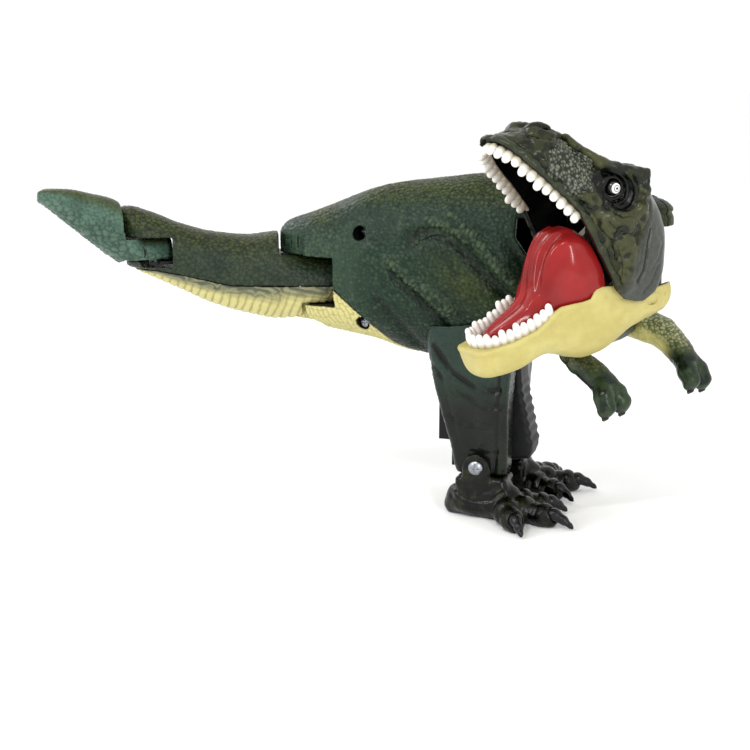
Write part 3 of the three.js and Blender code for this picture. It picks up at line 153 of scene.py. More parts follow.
def ell(X, Y, Z, c, r):
    x, y, z = (X - c[0]) / r[0], (Y - c[1]) / r[1], (Z - c[2]) / r[2]
    k0 = np.sqrt(x * x + y * y + z * z)
    k1 = np.sqrt((x / r[0]) ** 2 + (y / r[1]) ** 2 + (z / r[2]) ** 2)
    return k0 * (k0 - 1) / np.maximum(k1, 1e-5)


def box(X, Y, Z, x0, x1, y0, y1, z0, z1, r=0.0):
    qx = np.abs(X - (x0 + x1) / 2) - (x1 - x0) / 2 + r
    qy = np.abs(Y - (y0 + y1) / 2) - (y1 - y0) / 2 + r
    qz = np.abs(Z - (z0 + z1) / 2) - (z1 - z0) / 2 + r
    out = np.sqrt(np.maximum(qx, 0) ** 2 + np.maximum(qy, 0) ** 2 + np.maximum(qz, 0) ** 2)
    return out + np.minimum(np.maximum(np.maximum(qx, qy), qz), 0) - r


def tube(a, dr, r):
    """cylinder from the distance to its axis and the distance along it"""
    q = a - r
    return np.minimum(np.maximum(q, dr), 0) + np.sqrt(np.maximum(q, 0) ** 2 + np.maximum(dr, 0) ** 2)


def cylz(X, Y, Z, x, y, z0, z1, r):
    return tube(np.hypot(X - x, Y - y), np.abs(Z - (z0 + z1) / 2) - (z1 - z0) / 2, r)


def cyly(X, Y, Z, x, z, y0, y1, r):
    return tube(np.hypot(X - x, Z - z), np.abs(Y - (y0 + y1) / 2) - (y1 - y0) / 2, r)


def poly(U, V, pts):
    """signed distance to a closed outline in a plane"""
    p = np.array(pts, float)
    d = np.full(U.shape, 1e9)
    s = np.ones(U.shape)
    n = len(p)
    for i in range(n):
        a, b = p[i], p[i - 1]
        ex, ey = b - a
        wx, wy = U - a[0], V - a[1]
        t = np.clip((wx * ex + wy * ey) / (ex * ex + ey * ey), 0, 1)
        d = np.minimum(d, (wx - ex * t) ** 2 + (wy - ey * t) ** 2)
        c1, c2, c3 = V >= a[1], V < b[1], ex * wy > ey * wx
        s = np.where((c1 & c2 & c3) | (~c1 & ~c2 & ~c3), -s, s)
    return s * np.sqrt(d)


def line2(U, V, pts):
    """distance in a plane to an open line, and how far along it (0 to 1)"""
    best, along = np.full(U.shape, 1e9), np.zeros(U.shape)
    p = np.array(pts, float)
    L = np.hypot(*np.diff(p, axis=0).T)
    s0 = 0.0
    for a, b, seg in zip(p, p[1:], L):
        e = b - a
        t = np.clip(((U - a[0]) * e[0] + (V - a[1]) * e[1]) / (seg * seg), 0, 1)
        d = np.hypot(U - a[0] - t * e[0], V - a[1] - t * e[1])
        near = d < best
        best = np.where(near, d, best)
        along = np.where(near, (s0 + t * seg) / L.sum(), along)
        s0 += seg
    return best, along


# ---------------------------------------------------------------- noise
def hashf(i, j, k, s):
    n = (i * 73856093) ^ (j * 19349663) ^ (k * 83492791) ^ (s * 1013904223)
    n = ((n ^ (n >> 13)) * 1274126177) & 0xFFFFFFFF
    n = ((n ^ (n >> 16)) * 0x85EBCA6B) & 0xFFFFFFFF
    n ^= n >> 15
    return n / 4294967296.0


def vnoise(x, y, z, s=0):
    i, j, k = [np.floor(a).astype(np.int64) for a in (x, y, z)]
    u, v, w = [a - np.floor(a) for a in (x, y, z)]
    u, v, w = [a * a * (3 - 2 * a) for a in (u, v, w)]
    h = lambda a, b, c: hashf(i + a, j + b, k + c, s)
    x0 = mix(mix(h(0, 0, 0), h(1, 0, 0), u), mix(h(0, 1, 0), h(1, 1, 0), u), v)
    x1 = mix(mix(h(0, 0, 1), h(1, 0, 1), u), mix(h(0, 1, 1), h(1, 1, 1), u), v)
    return mix(x0, x1, w)


def fbm(x, y, z, s=0, o=3):
    t, a, n = 0.0, 0.5, 0.0
    for k in range(o):
        t = t + a * vnoise(x, y, z, s + k)
        n += a
        a *= 0.5
        x, y, z = 2.03 * x + 1.7, 2.03 * y - 3.1, 2.03 * z + 5.3
    return t / n


def cells(x, y, z, s=0, jit=0.85):
    """distance to the nearest and the second nearest cell point, and a number for the cell"""
    i, j, k = [np.floor(a).astype(np.int64) for a in (x, y, z)]
    f1, f2, idn = np.full(x.shape, 9.0), np.full(x.shape, 9.0), np.zeros(x.shape)
    for a in (-1, 0, 1):
        for b in (-1, 0, 1):
            for c in (-1, 0, 1):
                ii, jj, kk = i + a, j + b, k + c
                h = hashf(ii, jj, kk, s)
                px = ii + 0.5 + jit * (h - 0.5)
                py = jj + 0.5 + jit * ((h * 91.7) % 1.0 - 0.5)
                pz = kk + 0.5 + jit * ((h * 617.3) % 1.0 - 0.5)
                d = np.sqrt((x - px) ** 2 + (y - py) ** 2 + (z - pz) ** 2)
                near = d < f1
                f2 = np.where(near, f1, np.minimum(f2, d))
                idn = np.where(near, h, idn)
                f1 = np.where(near, d, f1)
    return f1, f2, idn


def pebbles(x, y, z, size, s=0, edge=0.32):
    """rounded scales: 0 in the grooves between them, 1 on top"""
    f1, f2, idn = cells(x / size, y / size, z / size, s)
    return sstep(0.0, edge, f2 - f1) * (1 - 0.35 * np.clip(f1, 0, 1)), idn


# ---------------------------------------------------------------- fields to meshes
CORNERS = [(a, b, c) for a in (0, 1) for b in (0, 1) for c in (0, 1)]
EDGES = [(p, q) for p in range(8) for q in range(p + 1, 8) if sum(abs(CORNERS[p][i] - CORNERS[q][i]) for i in range(3)) == 1]


def field_on_grid(f, lo, hi, h):
    lo = np.array(lo, float) - 2.5 * h
    nb = np.ceil((np.array(hi, float) + 2.5 * h - lo) / h / 4).astype(int) + 1
    cen = [lo[k] + (np.arange(nb[k]) * 4 + 1.5) * h for k in range(3)]
    C = np.meshgrid(*cen, indexing="ij")
    d = f(C[0].ravel(), C[1].ravel(), C[2].ravel()).reshape(nb)
    V = np.where(d < 0, -9.0, 9.0).astype(np.float32)
    for ax in range(3):
        V = np.repeat(V, 4, axis=ax)
    act = np.argwhere(np.abs(d) < 3.6 * h * 1.7 + 0.8)
    off = np.array([(a, b, c) for a in range(4) for b in range(4) for c in range(4)])
    for s in range(0, len(act), 12000):
        ijk = (act[s : s + 12000, None, :] * 4 + off[None]).reshape(-1, 3)
        P = lo + ijk * h
        V[ijk[:, 0], ijk[:, 1], ijk[:, 2]] = f(P[:, 0], P[:, 1], P[:, 2])
    return V, lo


def surface(V, lo, h):
    S = V < 0
    n = [a - 1 for a in V.shape]
    c = np.zeros(n, np.uint8)
    for a, b, d in CORNERS:
        c += S[a : n[0] + a, b : n[1] + b, d : n[2] + d]
    idx = np.argwhere((c > 0) & (c < 8))
    vals = [V[idx[:, 0] + a, idx[:, 1] + b, idx[:, 2] + d].astype(float) for a, b, d in CORNERS]
    P, cnt = np.zeros((len(idx), 3)), np.zeros(len(idx))
    for p, q in EDGES:
        va, vb = vals[p], vals[q]
        m = (va < 0) != (vb < 0)
        t = np.where(m, va / np.where(m, va - vb, 1), 0)
        a, b = np.array(CORNERS[p], float), np.array(CORNERS[q], float)
        P += np.where(m[:, None], a + t[:, None] * (b - a), 0)
        cnt += m
    verts = lo + (idx + P / cnt[:, None]) * h
    vid = np.full(n, -1, np.int64)
    vid[idx[:, 0], idx[:, 1], idx[:, 2]] = np.arange(len(idx))
    faces = []
    for ax in range(3):
        A = [slice(None)] * 3
        B = [slice(None)] * 3
        A[ax], B[ax] = slice(0, -1), slice(1, None)
        E = S[tuple(A)] != S[tuple(B)]
        o1, o2 = (ax + 1) % 3, (ax + 2) % 3
        e = np.argwhere(E)
        ok = (e[:, o1] > 0) & (e[:, o2] > 0) & (e[:, o1] < n[o1]) & (e[:, o2] < n[o2])
        e = e[ok]
        low = S[e[:, 0], e[:, 1], e[:, 2]]
        q = []
        for d1, d2 in ((-1, -1), (0, -1), (0, 0), (-1, 0)):
            g = e.copy()
            g[:, o1] += d1
            g[:, o2] += d2
            q.append(vid[g[:, 0], g[:, 1], g[:, 2]])
        q = np.stack(q, 1)
        q[~low] = q[~low][:, ::-1]
        faces.append(q)
    F = np.concatenate(faces)
    return verts, F[(F >= 0).all(1)]


def biggest(V, F, keep=1):
    """drop all but the largest separate bodies"""
    lab = np.arange(len(V))
    e = np.concatenate([F[:, [0, 1]], F[:, [1, 2]], F[:, [2, 3]], F[:, [3, 0]]])
    for _ in range(200):
        m = np.minimum(lab[e[:, 0]], lab[e[:, 1]])
        new = lab.copy()
        np.minimum.at(new, e[:, 0], m)
        np.minimum.at(new, e[:, 1], m)
        new = new[new]
        new = new[new]
        if (new == lab).all():
            break
        lab = new
    ids, size = np.unique(lab, return_counts=True)
    good = ids[np.argsort(-size)][:keep]
    good = good[size[np.argsort(-size)][:keep] > 60]
    ok = np.isin(lab, good)
    ren = np.cumsum(ok) - 1
    F = F[ok[F[:, 0]]]
    return V[ok], ren[F]


def grad(f, P, d0, eps):
    g = np.stack([f(P[:, 0] + eps * (k == 0), P[:, 1] + eps * (k == 1), P[:, 2] + eps * (k == 2)) - d0 for k in range(3)], 1) / eps
    n = np.linalg.norm(g, axis=1, keepdims=True)
    return g / np.maximum(n, 1e-6), n[:, 0]


def relax(V, F, n=1, w=0.5):
    e = np.concatenate([F[:, [0, 1]], F[:, [1, 2]], F[:, [2, 3]], F[:, [3, 0]]])
    for _ in range(n):
        s, c = np.zeros_like(V), np.zeros(len(V))
        for a, b in ((0, 1), (1, 0)):
            for k in range(3):
                s[:, k] += np.bincount(e[:, a], V[e[:, b], k], len(V))
            c += np.bincount(e[:, a], minlength=len(V))
        V = V + w * (s / c[:, None] - V)
    return V


def solve(f, lo, hi, h, keep=1, snap=2, soft=1):
    """vertices, quads and outward directions of the surface f = 0"""
    V, g0 = field_on_grid(f, lo, hi, h)
    P, F = surface(V, g0, h)
    P, F = biggest(P, F, keep)
    N = None
    for _ in range(snap):
        d = f(P[:, 0], P[:, 1], P[:, 2])
        N, n = grad(f, P, d, 0.1 * h)
        P = P - N * (np.clip(d / np.maximum(n, 0.4), -0.5 * h, 0.5 * h) * 0.8)[:, None]
        if soft:
            P = relax(P, F, 1, 0.35)
    d = f(P[:, 0], P[:, 1], P[:, 2])
    N, n = grad(f, P, d, 0.1 * h)
    return P, F, N


def srgb(r, g, b):
    c = np.array([r, g, b], float) / 255
    return np.where(c <= 0.04045, c / 12.92, ((c + 0.055) / 1.055) ** 2.4)


def tint(a, b, t):
    return a + (b - a) * np.clip(t, 0, 1)[:, None]


def flat(c, n):
    return np.tile(np.asarray(c, float), (n, 1))


# ---------------------------------------------------------------- frames of the bodies
def T(x, y, z):
    m = np.eye(4)
    m[:3, 3] = x, y, z
    return m


def RZ(a):
    m = np.eye(4)
    c, s = math.cos(rad(a)), math.sin(rad(a))
    m[:2, :2] = [[c, -s], [s, c]]
    return m


def RY(a):
    m = np.eye(4)
    c, s = math.cos(rad(a)), math.sin(rad(a))
    m[0, 0], m[0, 2], m[2, 0], m[2, 2] = c, s, -s, c
    return m


PALATE = 116
M_ROOT = np.eye(4)
M_NECK = T(36.5, 0, 0) @ RZ(-32)
M_HEAD = M_NECK @ T(36, 0, 0) @ RZ(-104)
M_SKULL = M_HEAD @ T(20, 0, PALATE + 14) @ RY(-36) @ T(-20, 0, -14)
M_JAW = M_HEAD @ T(7, 0, PALATE - 14) @ RY(19.2) @ T(-7, 0, 14)
M_MID = T(-80, 0, 0) @ RZ(24)
M_TIP = M_MID @ T(-75, 0, 0) @ RZ(16)


# ---------------------------------------------------------------- materials
def nodes_of(name):
    m = bpy.data.materials.new(name)
    m.use_nodes = True
    t = m.node_tree
    t.nodes.clear()
    out = t.nodes.new("ShaderNodeOutputMaterial")
    b = t.nodes.new("ShaderNodeBsdfPrincipled")
    t.links.new(b.outputs[0], out.inputs[0])
    return m, t, b


def plastic(name, colour=None, rough=(0.34, 0.5), grain=420, grain_amt=0.12, bump=0.06, bump_scale=900, cell=0, cell_amt=0.0, coat=0.0, metal=0.0, spec=0.5, sss=0.0):
    """moulded plastic: its colour from the piece's own paint or one shade, mottled; gloss and grain from noise"""
    m, t, b = nodes_of(name)
    N, L = t.nodes, t.links
    tc = N.new("ShaderNodeTexCoord")
    n1 = N.new("ShaderNodeTexNoise")
    n1.inputs["Scale"].default_value = grain
    n1.inputs["Detail"].default_value = 4
    n1.inputs["Roughness"].default_value = 0.6
    L.new(tc.outputs["Object"], n1.inputs["Vector"])
    n2 = N.new("ShaderNodeTexNoise")
    n2.inputs["Scale"].default_value = grain * 0.17
    n2.inputs["Detail"].default_value = 3
    L.new(tc.outputs["Object"], n2.inputs["Vector"])
    if colour is None:
        src = N.new("ShaderNodeAttribute")
        src.attribute_name = "paint"
        base = src.outputs["Color"]
    else:
        ramp0 = N.new("ShaderNodeValToRGB")
        c = srgb(*colour)
        ramp0.color_ramp.elements[0].color = (*[float(x) * 0.8 for x in c], 1)
        ramp0.color_ramp.elements[1].color = (*[min(1.0, float(x) * 1.15) for x in c], 1)
        ramp0.color_ramp.elements[0].position, ramp0.color_ramp.elements[1].position = 0.3, 0.7
        L.new(n2.outputs["Fac"], ramp0.inputs["Fac"])
        base = ramp0.outputs["Color"]
    # light and dark mottling
    rg = N.new("ShaderNodeMapRange")
    rg.inputs["From Min"].default_value, rg.inputs["From Max"].default_value = 0.3, 0.7
    rg.inputs["To Min"].default_value, rg.inputs["To Max"].default_value = 1 - grain_amt, 1 + grain_amt
    L.new(n1.outputs["Fac"], rg.inputs["Value"])
    mul = N.new("ShaderNodeVectorMath")
    mul.operation = "SCALE"
    L.new(base, mul.inputs[0])
    L.new(rg.outputs["Result"], mul.inputs["Scale"])
    L.new(mul.outputs["Vector"], b.inputs["Base Color"])
    rr = N.new("ShaderNodeMapRange")
    rr.inputs["From Min"].default_value, rr.inputs["From Max"].default_value = 0.3, 0.7
    rr.inputs["To Min"].default_value, rr.inputs["To Max"].default_value = rough
    L.new(n2.outputs["Fac"], rr.inputs["Value"])
    L.new(rr.outputs["Result"], b.inputs["Roughness"])
    n3 = N.new("ShaderNodeTexNoise")
    n3.inputs["Scale"].default_value = bump_scale
    n3.inputs["Detail"].default_value = 3
    L.new(tc.outputs["Object"], n3.inputs["Vector"])
    height = n3.outputs["Fac"]
    if cell:
        v = N.new("ShaderNodeTexVoronoi")
        v.inputs["Scale"].default_value = cell
        v.feature = "DISTANCE_TO_EDGE"
        L.new(tc.outputs["Object"], v.inputs["Vector"])
        cr = N.new("ShaderNodeMapRange")
        cr.inputs["From Min"].default_value, cr.inputs["From Max"].default_value = 0.0, 0.25
        cr.inputs["To Min"].default_value, cr.inputs["To Max"].default_value = 0.0, cell_amt
        L.new(v.outputs["Distance"], cr.inputs["Value"])
        ad = N.new("ShaderNodeMath")
        ad.operation = "ADD"
        L.new(n3.outputs["Fac"], ad.inputs[0])
        L.new(cr.outputs["Result"], ad.inputs[1])
        height = ad.outputs[0]
    bp = N.new("ShaderNodeBump")
    bp.inputs["Strength"].default_value = 1.0
    bp.inputs["Distance"].default_value = bump * MM
    L.new(height, bp.inputs["Height"])
    L.new(bp.outputs["Normal"], b.inputs["Normal"])
    b.inputs["Metallic"].default_value = metal
    b.inputs["Specular IOR Level"].default_value = spec
    b.inputs["Coat Weight"].default_value = coat
    b.inputs["Coat Roughness"].default_value = 0.12
    if sss:
        b.inputs["Subsurface Weight"].default_value = sss
        b.inputs["Subsurface Radius"].default_value = (0.6, 0.45, 0.3)
        b.inputs["Subsurface Scale"].default_value = 0.002
    return m


SKIN = plastic("painted_skin", rough=(0.2, 0.34), grain=520, grain_amt=0.16, spec=0.18, bump=0.05, bump_scale=1500, cell=1150, cell_amt=1.2)
HEAD = plastic("painted_head", rough=(0.2, 0.34), spec=0.22, grain=600, grain_amt=0.16, bump=0.04, bump_scale=1700)
CREAM = plastic("cream_plastic", rough=(0.42, 0.55), spec=0.3, grain=380, grain_amt=0.05, bump=0.035, bump_scale=1300)
DARK = plastic("dark_leg_plastic", rough=(0.2, 0.34), grain=450, grain_amt=0.16, bump=0.05, bump_scale=900, spec=0.25)
WHITE = plastic("tooth_white", rough=(0.3, 0.42), grain=500, grain_amt=0.03, bump=0.02, bump_scale=900)
RED = plastic("tongue_red", rough=(0.1, 0.17), grain=240, grain_amt=0.07, bump=0.012, bump_scale=500, coat=0.06, spec=0.24)
CLAW = plastic("claw_black", (15, 16, 18), rough=(0.2, 0.32), spec=0.3, grain=500, grain_amt=0.2, bump=0.03, bump_scale=700)
BLACK = plastic("inner_black", (14, 15, 16), spec=0.25, rough=(0.42, 0.6), grain=500, grain_amt=0.2, bump=0.04, bump_scale=1100)
NYLON = plastic("inner_nylon", (206, 204, 194), rough=(0.4, 0.55), grain=500, grain_amt=0.05, bump=0.03, bump_scale=1100)
STEEL = plastic("pin_steel", (150, 154, 160), rough=(0.25, 0.4), grain=900, grain_amt=0.12, bump=0.02, bump_scale=1900, metal=1.0)
EYE = plastic("eye_gloss", rough=(0.08, 0.12), grain=500, grain_amt=0.02, bump=0.004, bump_scale=900, coat=0.6)

FACES = {}
# how strongly each plastic is pigmented: brightness and colour strength of its paint
PIGMENT = {SKIN: (0.49, 1.5), HEAD: (0.41, 1.3), CREAM: (0.7, 1.04), DARK: (0.5, 1.3), WHITE: (0.86, 1.0), RED: (0.74, 1.2)}


def piece(name, V, F, paint, M, body, slot, mat, *nodes):
    """a mesh from local millimetres, in place in the row frame"""
    W = (V @ M[:3, :3].T + M[:3, 3]) * MM
    me = bpy.data.meshes.new(name)
    me.vertices.add(len(W))
    me.vertices.foreach_set("co", W.astype(np.float32).ravel())
    me.loops.add(F.size)
    me.loops.foreach_set("vertex_index", F.astype(np.int32).ravel())
    me.polygons.add(len(F))
    me.polygons.foreach_set("loop_start", np.arange(0, F.size, F.shape[1], dtype=np.int32))
    me.update(calc_edges=True)
    me.validate()
    me.polygons.foreach_set("use_smooth", np.ones(len(me.polygons), bool))
    if paint is not None:
        k, sat = PIGMENT.get(mat, (1.0, 1.0))
        grey = paint.mean(1, keepdims=True)
        paint = k * np.maximum(grey + sat * (paint - grey), 0.15 * grey)
        a = me.color_attributes.new("paint", "FLOAT_COLOR", "POINT")
        rgba = np.ones((len(W), 4), np.float32)
        rgba[:, :3] = np.clip(paint, 0, 1)
        a.data.foreach_set("color", rgba.ravel())
    me.materials.append(mat)
    o = bpy.data.objects.new(name, me)
    bpy.context.scene.collection.objects.link(o)
    FACES[name] = len(F) * (F.shape[1] - 2)
    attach(o, body)
    if nodes:
        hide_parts(*nodes)
    return o


# ---------------------------------------------------------------- palette
TEAL = srgb(36, 54, 44)
# painted shade for the grooves between scales and the creases of the folds
GROOVE_SHADE = srgb(18, 28, 22)
FLANK = srgb(44, 64, 51)
OLIVE = srgb(80, 90, 50)
OLIVE_D = srgb(46, 54, 32)
# painted highlight for the tops of the scales
SCALE_HIGHLIGHT = srgb(112, 126, 100)
# painted shade for the inside faces and holes of the shells
INSIDE_SHADE = srgb(10, 12, 11)
CREAM_C = srgb(228, 220, 150)
CREAM_D = srgb(188, 180, 110)

# ---------------------------------------------------------------- trunk
TRUNK = Loft(
    [
        [-97, 120.5, 84, 15.5],
        [-93, 123, 80, 18.5],
        [-82, 126.8, 77, 21.8],
        [-68, 132.3, 74.5, 24.8],
        [-52, 138.3, 72, 27],
        [-35, 141.5, 67.5, 28.6],
        [-18, 143.5, 66, 29.5],
        [-3, 145, 66.5, 29.2],
        [12, 145.3, 69, 27.5],
        [26, 144.2, 75, 23.5],
        [38, 142.5, 81, 20.5],
        [48, 140.5, 81, 19.5],
        [52.8, 138.8, 82, 18],
    ],
    2.3,
    4.0,
)
VALLEYS = [
    # outline in x and z, depth, half width
    ([(-30, 116.5), (-25.4, 121.2), (-18.5, 122.3), (-12.3, 119.7), (-6.1, 115), (1.7, 106.6), (11.6, 96.9), (17, 91)], 2.2, 3.3),
    ([(-39, 105.7), (-29.2, 96.9), (-20.7, 88.7), (-12.1, 79.1)], 1.9, 2.5),
    ([(-46.6, 94.1), (-35, 81.3), (-27, 72)], 1.3, 2.6),
    ([(-14.9, 114.3), (-11.8, 109.5), (-8.3, 103.8)], 1.1, 2.2),
    ([(10.6, 119.9), (17.7, 111), (22, 103)], 1.2, 2.8),
    ([(-14, 96), (-6, 88), (0, 79)], 0.8, 2.4),
]
RIDGES = [
    ([(-14.3, 130.4), (-4, 122.7), (4.8, 112.5), (13.9, 102.8)], 1.3, 2.8),
    ([(-25, 125.2), (-15.2, 124.6), (-7.1, 119.9)], 0.7, 1.5),
    ([(-39, 109.5), (-34.5, 104.8), (-28.3, 100.1), (-20.4, 95.8), (-12.9, 88.7)], 1.2, 2.2),
    ([(-50, 112), (-55, 103), (-53, 95)], 1.0, 4.0),
]


def trunk_form(X, Z, side):
    """folds of the flanks and thighs: height over the plain loft"""
    d = np.zeros(X.shape)
    for pts, a, w in VALLEYS:
        r, t = line2(X, Z, pts)
        d -= a * np.exp(-((r / w) ** 2)) * sstep(0, 0.15, t + 0.08) * sstep(0, 0.15, 1.08 - t)
    for pts, a, w in RIDGES:
        r, t = line2(X, Z, pts)
        d += a * np.exp(-((r / w) ** 2))
    return 1.2 * d * side


def trunk_outer(X, Y, Z):
    d = TRUNK(X, Y, Z)
    near = np.abs(d) < 5
    if near.any():
        x, y, z = X[near], Y[near], Z[near]
        side = sstep(9, 19, np.abs(y)) * sstep(64, 72, z)
        add = trunk_form(x, z, side) + 0.35 * (fbm(x / 9, y / 9, z / 9, 3, 2) - 0.5)
        d = d.copy()
        d[near] -= add
    # rounded lobes round the two pins, and what is taken off round them
    rr, rf = np.hypot(X + 80, Y), np.hypot(X - 36.5, Y)
    d = smax(d, np.where(X < -80, np.where(Z > 100, rr - 17.5, rr - 13), -9), 0.6)
    d = smax(d, np.where(X > 36.5, np.where(Z > 110, rf - 14.2, rf - 16.5), -9), 0.6)
    d = smax(d, -smax(smax(24 - X, 128.5 - Z, 1.0), 14.2 - np.abs(Y), 1.0), 1.2)
    d = smax(d, -poly(X, Z, [(-130, 40), (-74.5, 40), (-74.5, 78.2), (-78, 80.2), (-130, 80.2)]), 0.8)
    d = smax(d, -smax(16 - X, Z - 87.8, 1.0), 1.2)
    return d


def trunk_shell(X, Y, Z):
    out = trunk_outer(X, Y, Z)
    plain = smax(smax(TRUNK(X, Y, Z), np.where(X < -80, np.where(Z > 100, np.hypot(X + 80, Y) - 17.5, np.hypot(X + 80, Y) - 13), -9), 0.6), -smax(16 - X, Z - 87.8, 1.0), 0.6)
    plain = smax(plain, np.where(X > 36.5, np.where(Z > 110, np.hypot(X - 36.5, Y) - 14.2, np.hypot(X - 36.5, Y) - 16.5), -9), 0.6)
    plain = smax(plain, -smax(smax(24 - X, 128.5 - Z, 1.0), 14.2 - np.abs(Y), 1.0), 0.6)
    vr = np.minimum(line2(X, Z, VALLEYS[0][0])[0], line2(X, Z, VALLEYS[1][0])[0])
    inner = plain + 2.6 + 1.5 * np.exp(-((vr / 4.5) ** 2)) * (np.abs(Y) > 9)
    # floors and roofs of the lobes stay solid
    for x0, x1, z0, z1 in ((-99, -65.2, 109.2, 111), (-99, -62, 85.7, 87.5), (14.5, 60, 128.5, 130.3), (17, 60, 98.7, 100.5)):
        inner = np.maximum(inner, -np.maximum(np.maximum(x0 - X, X - x1), np.maximum(z0 - Z, Z - z1)))
    inner = np.maximum(inner, -np.maximum(np.maximum(-31.5 - X, X + 22.5), np.maximum(95.6 - Z, Z - 98.1)))
    for x, z in ((-53, 120.3), (-53.2, 80.8)):
        inner = np.maximum(inner, 4.6 - np.hypot(X - x, Z - z))
    d = smax(out, -inner, 0.3)
    d = smax(d, -smax(X + 65.2, smax(87.5 - Z, Z - 109.2, 0.8), 0.8), 0.6)
    d = smax(d, -poly(X, Z, [(14.5, 128.5), (14.5, 120.7), (20.5, 112), (28, 100.5), (90, 100.5), (90, 128.5)]), 0.6)
    d = smax(d, -cylz(X, Y, Z, 36.5, 0, 100.5, 128.5, 16.5), 0.4)
    d = smax(d, -box(X, Y, Z, -15.2, 13.7, -12.5, 12.5, 55, 74), 0.3)
    d = smax(d, -box(X, Y, Z, -10, 24, -9.2, 9.2, 55, 74), 0.3)
    d = smax(d, -box(X, Y, Z, 10, 20, -3.3, 3.3, 73, 87.7), 0.3)
    d = np.maximum(d, -np.maximum(np.maximum(np.hypot(X + 80, Y) - 16.8, np.maximum(111.4 - Z, Z - 117.2)), np.maximum(np.maximum(-93 - X, X + 76), np.maximum(-20 - Y, Y + 8))))
    for x, z in ((-53, 120.3), (-53.2, 80.8)):
        d = smax(d, -cyly(X, Y, Z, x, z, -40, -14, 3.0), 0.5)
        d = smax(d, -cyly(X, Y, Z, x, z, -15, 9.3, 1.75), 0.2)
    for z0, z1, r, x in ((84, 122.6, 2.3, -80), (109, 111.5, 3.8, -80), (87, 101, 3.3, 36.5), (128, 134, 3.3, 36.5)):
        d = smax(d, -cylz(X, Y, Z, x, 0, z0, z1, r), 0.2)
    return d


BELLY = [(-130, 40), (-130, 87.6), (-72, 87.6), (-66, 96.4), (-40, 72.3), (-29, 67.2), (-26, 40)]


def trunk_detail(P, N, ribs=False):
    """scale relief and paint of the trunk; P are points on its surface"""
    X, Y, Z = P.T
    out = trunk_outer(X, Y, Z)
    face = sstep(-0.55, -0.1, out)
    form = trunk_form(X, Z, 1.0)
    rd = np.full(X.shape, 99.0)
    for pts, a, w in RIDGES[:3]:
        rd = np.minimum(rd, line2(X, Z, pts)[0])
    side = sstep(12, 20, np.abs(Y))
    big = np.exp(-((rd / 2.6) ** 2)) * side
    p1, i1 = pebbles(X, Y, Z * 1.15, 1.9, 11)
    c, s = math.cos(rad(-42)), math.sin(rad(-42))
    U, W = X * c + Z * s, -X * s + Z * c
    p2, i2 = pebbles(U * 1.25, Y * 0.8, W * 0.75, 2.7, 5, 0.28)
    smooth = np.exp(-(((X + 56) / 9) ** 2 + ((Z - 106) / 12) ** 2)) * side
    patchy = sstep(0.3, 0.62, fbm(X / 14, Y / 14, Z / 14, 21, 2))
    amp = (0.24 + 0.2 * patchy) * (1 - 0.75 * smooth) + 0.06 * sstep(132, 142, Z)
    h = amp * p1 * (1 - big) + big * p2 * 0.75
    edge = sstep(1.2, 3.2, np.minimum(np.abs(X - 14.5 - np.clip((120.7 - Z) * 0.67, 0, 14)) + 99 * (Z > 128.5), 99))
    P2 = P + N * ((h - 0.1) * face)[:, None]
    # paint
    q = fbm(X / 11, Y / 11, Z / 11, 9, 3)
    col = tint(flat(TEAL, len(P)), FLANK, sstep(0.35, 0.7, q))
    olive = sstep(131, 141, Z + 5 * (q - 0.5) + 0.04 * np.abs(X + 20)) * 0.95
    olive = np.maximum(olive, sstep(120, 126, Z + 0.3 * (X + 75)) * sstep(-60, -78, X) * 0.9)
    bulge = np.exp(-(((U - (-73)) / 15) ** 2)) * 0
    bx, bz = X + 1 * 4, Z - 101
    bulge = np.exp(-((bx * 0.74 - bz * 0.67) / 17) ** 2 - ((bx * 0.67 + bz * 0.74) / 8.5) ** 2) * side
    col = tint(col, mix(OLIVE_D, OLIVE, 0.5), bulge * 0.85)
    # olive back (its real colour), darker in the grooves between scales as painted shade
    oc = tint(flat(OLIVE_D, len(P)), OLIVE, sstep(0.25, 0.8, p1))
    col = tint(col, oc, olive)
    col = tint(col, srgb(96, 116, 98), sstep(-40, -75, X) * sstep(128, 112, Z) * 0.45)
    # painted shade: darker in the grooves between scales and in the valleys of the folds
    col = tint(col, GROOVE_SHADE, (1 - sstep(0.05, 0.4, p1)) * 0.65 * (1 - smooth))
    col = tint(col, GROOVE_SHADE, sstep(0.3, 2.0, -form) * 0.8 * side)
    # painted highlights: lighter tops of the scales along the ridges and scattered over the flank
    col = tint(col, SCALE_HIGHLIGHT, sstep(0.55, 0.9, p2) * big * 0.55)
    col = tint(col, SCALE_HIGHLIGHT, sstep(0.62, 0.95, p1) * (0.1 + 0.2 * (i1 > 0.7)) * (0.4 + 0.6 * side))
    # the leg colour at the bottom
    col = tint(col, srgb(34, 44, 38), sstep(82, 70, Z) * 0.6)
    # painted shade: inside faces and holes of the shell near-black
    col = tint(flat(INSIDE_SHADE, len(P)), col, face)
    return P2, col


for side, word in ((-1, "right"), (1, "left")):

    def f(X, Y, Z, side=side):
        d = trunk_shell(X, Y, Z)
        d = smax(d, 0.15 - side * Y, 0.25)
        g = poly(X, Z, [(a + 0.25, b + 0.3) if i else (a, b) for i, (a, b) in enumerate(BELLY)])
        return smax(d, -g, 0.35)

    V, F, N = solve(f, (-98, -31 if side < 0 else 0, 62), (54, 0 if side < 0 else 31, 147), 0.62)
    V, col = trunk_detail(V, N)
    piece(f"trunk_skin_{word}", V, F, col, M_ROOT, "body", "green_shell", SKIN, f"trunk_shell_{word}")


def f(X, Y, Z):
    return smax(trunk_shell(X, Y, Z), poly(X, Z, BELLY), 0.35)


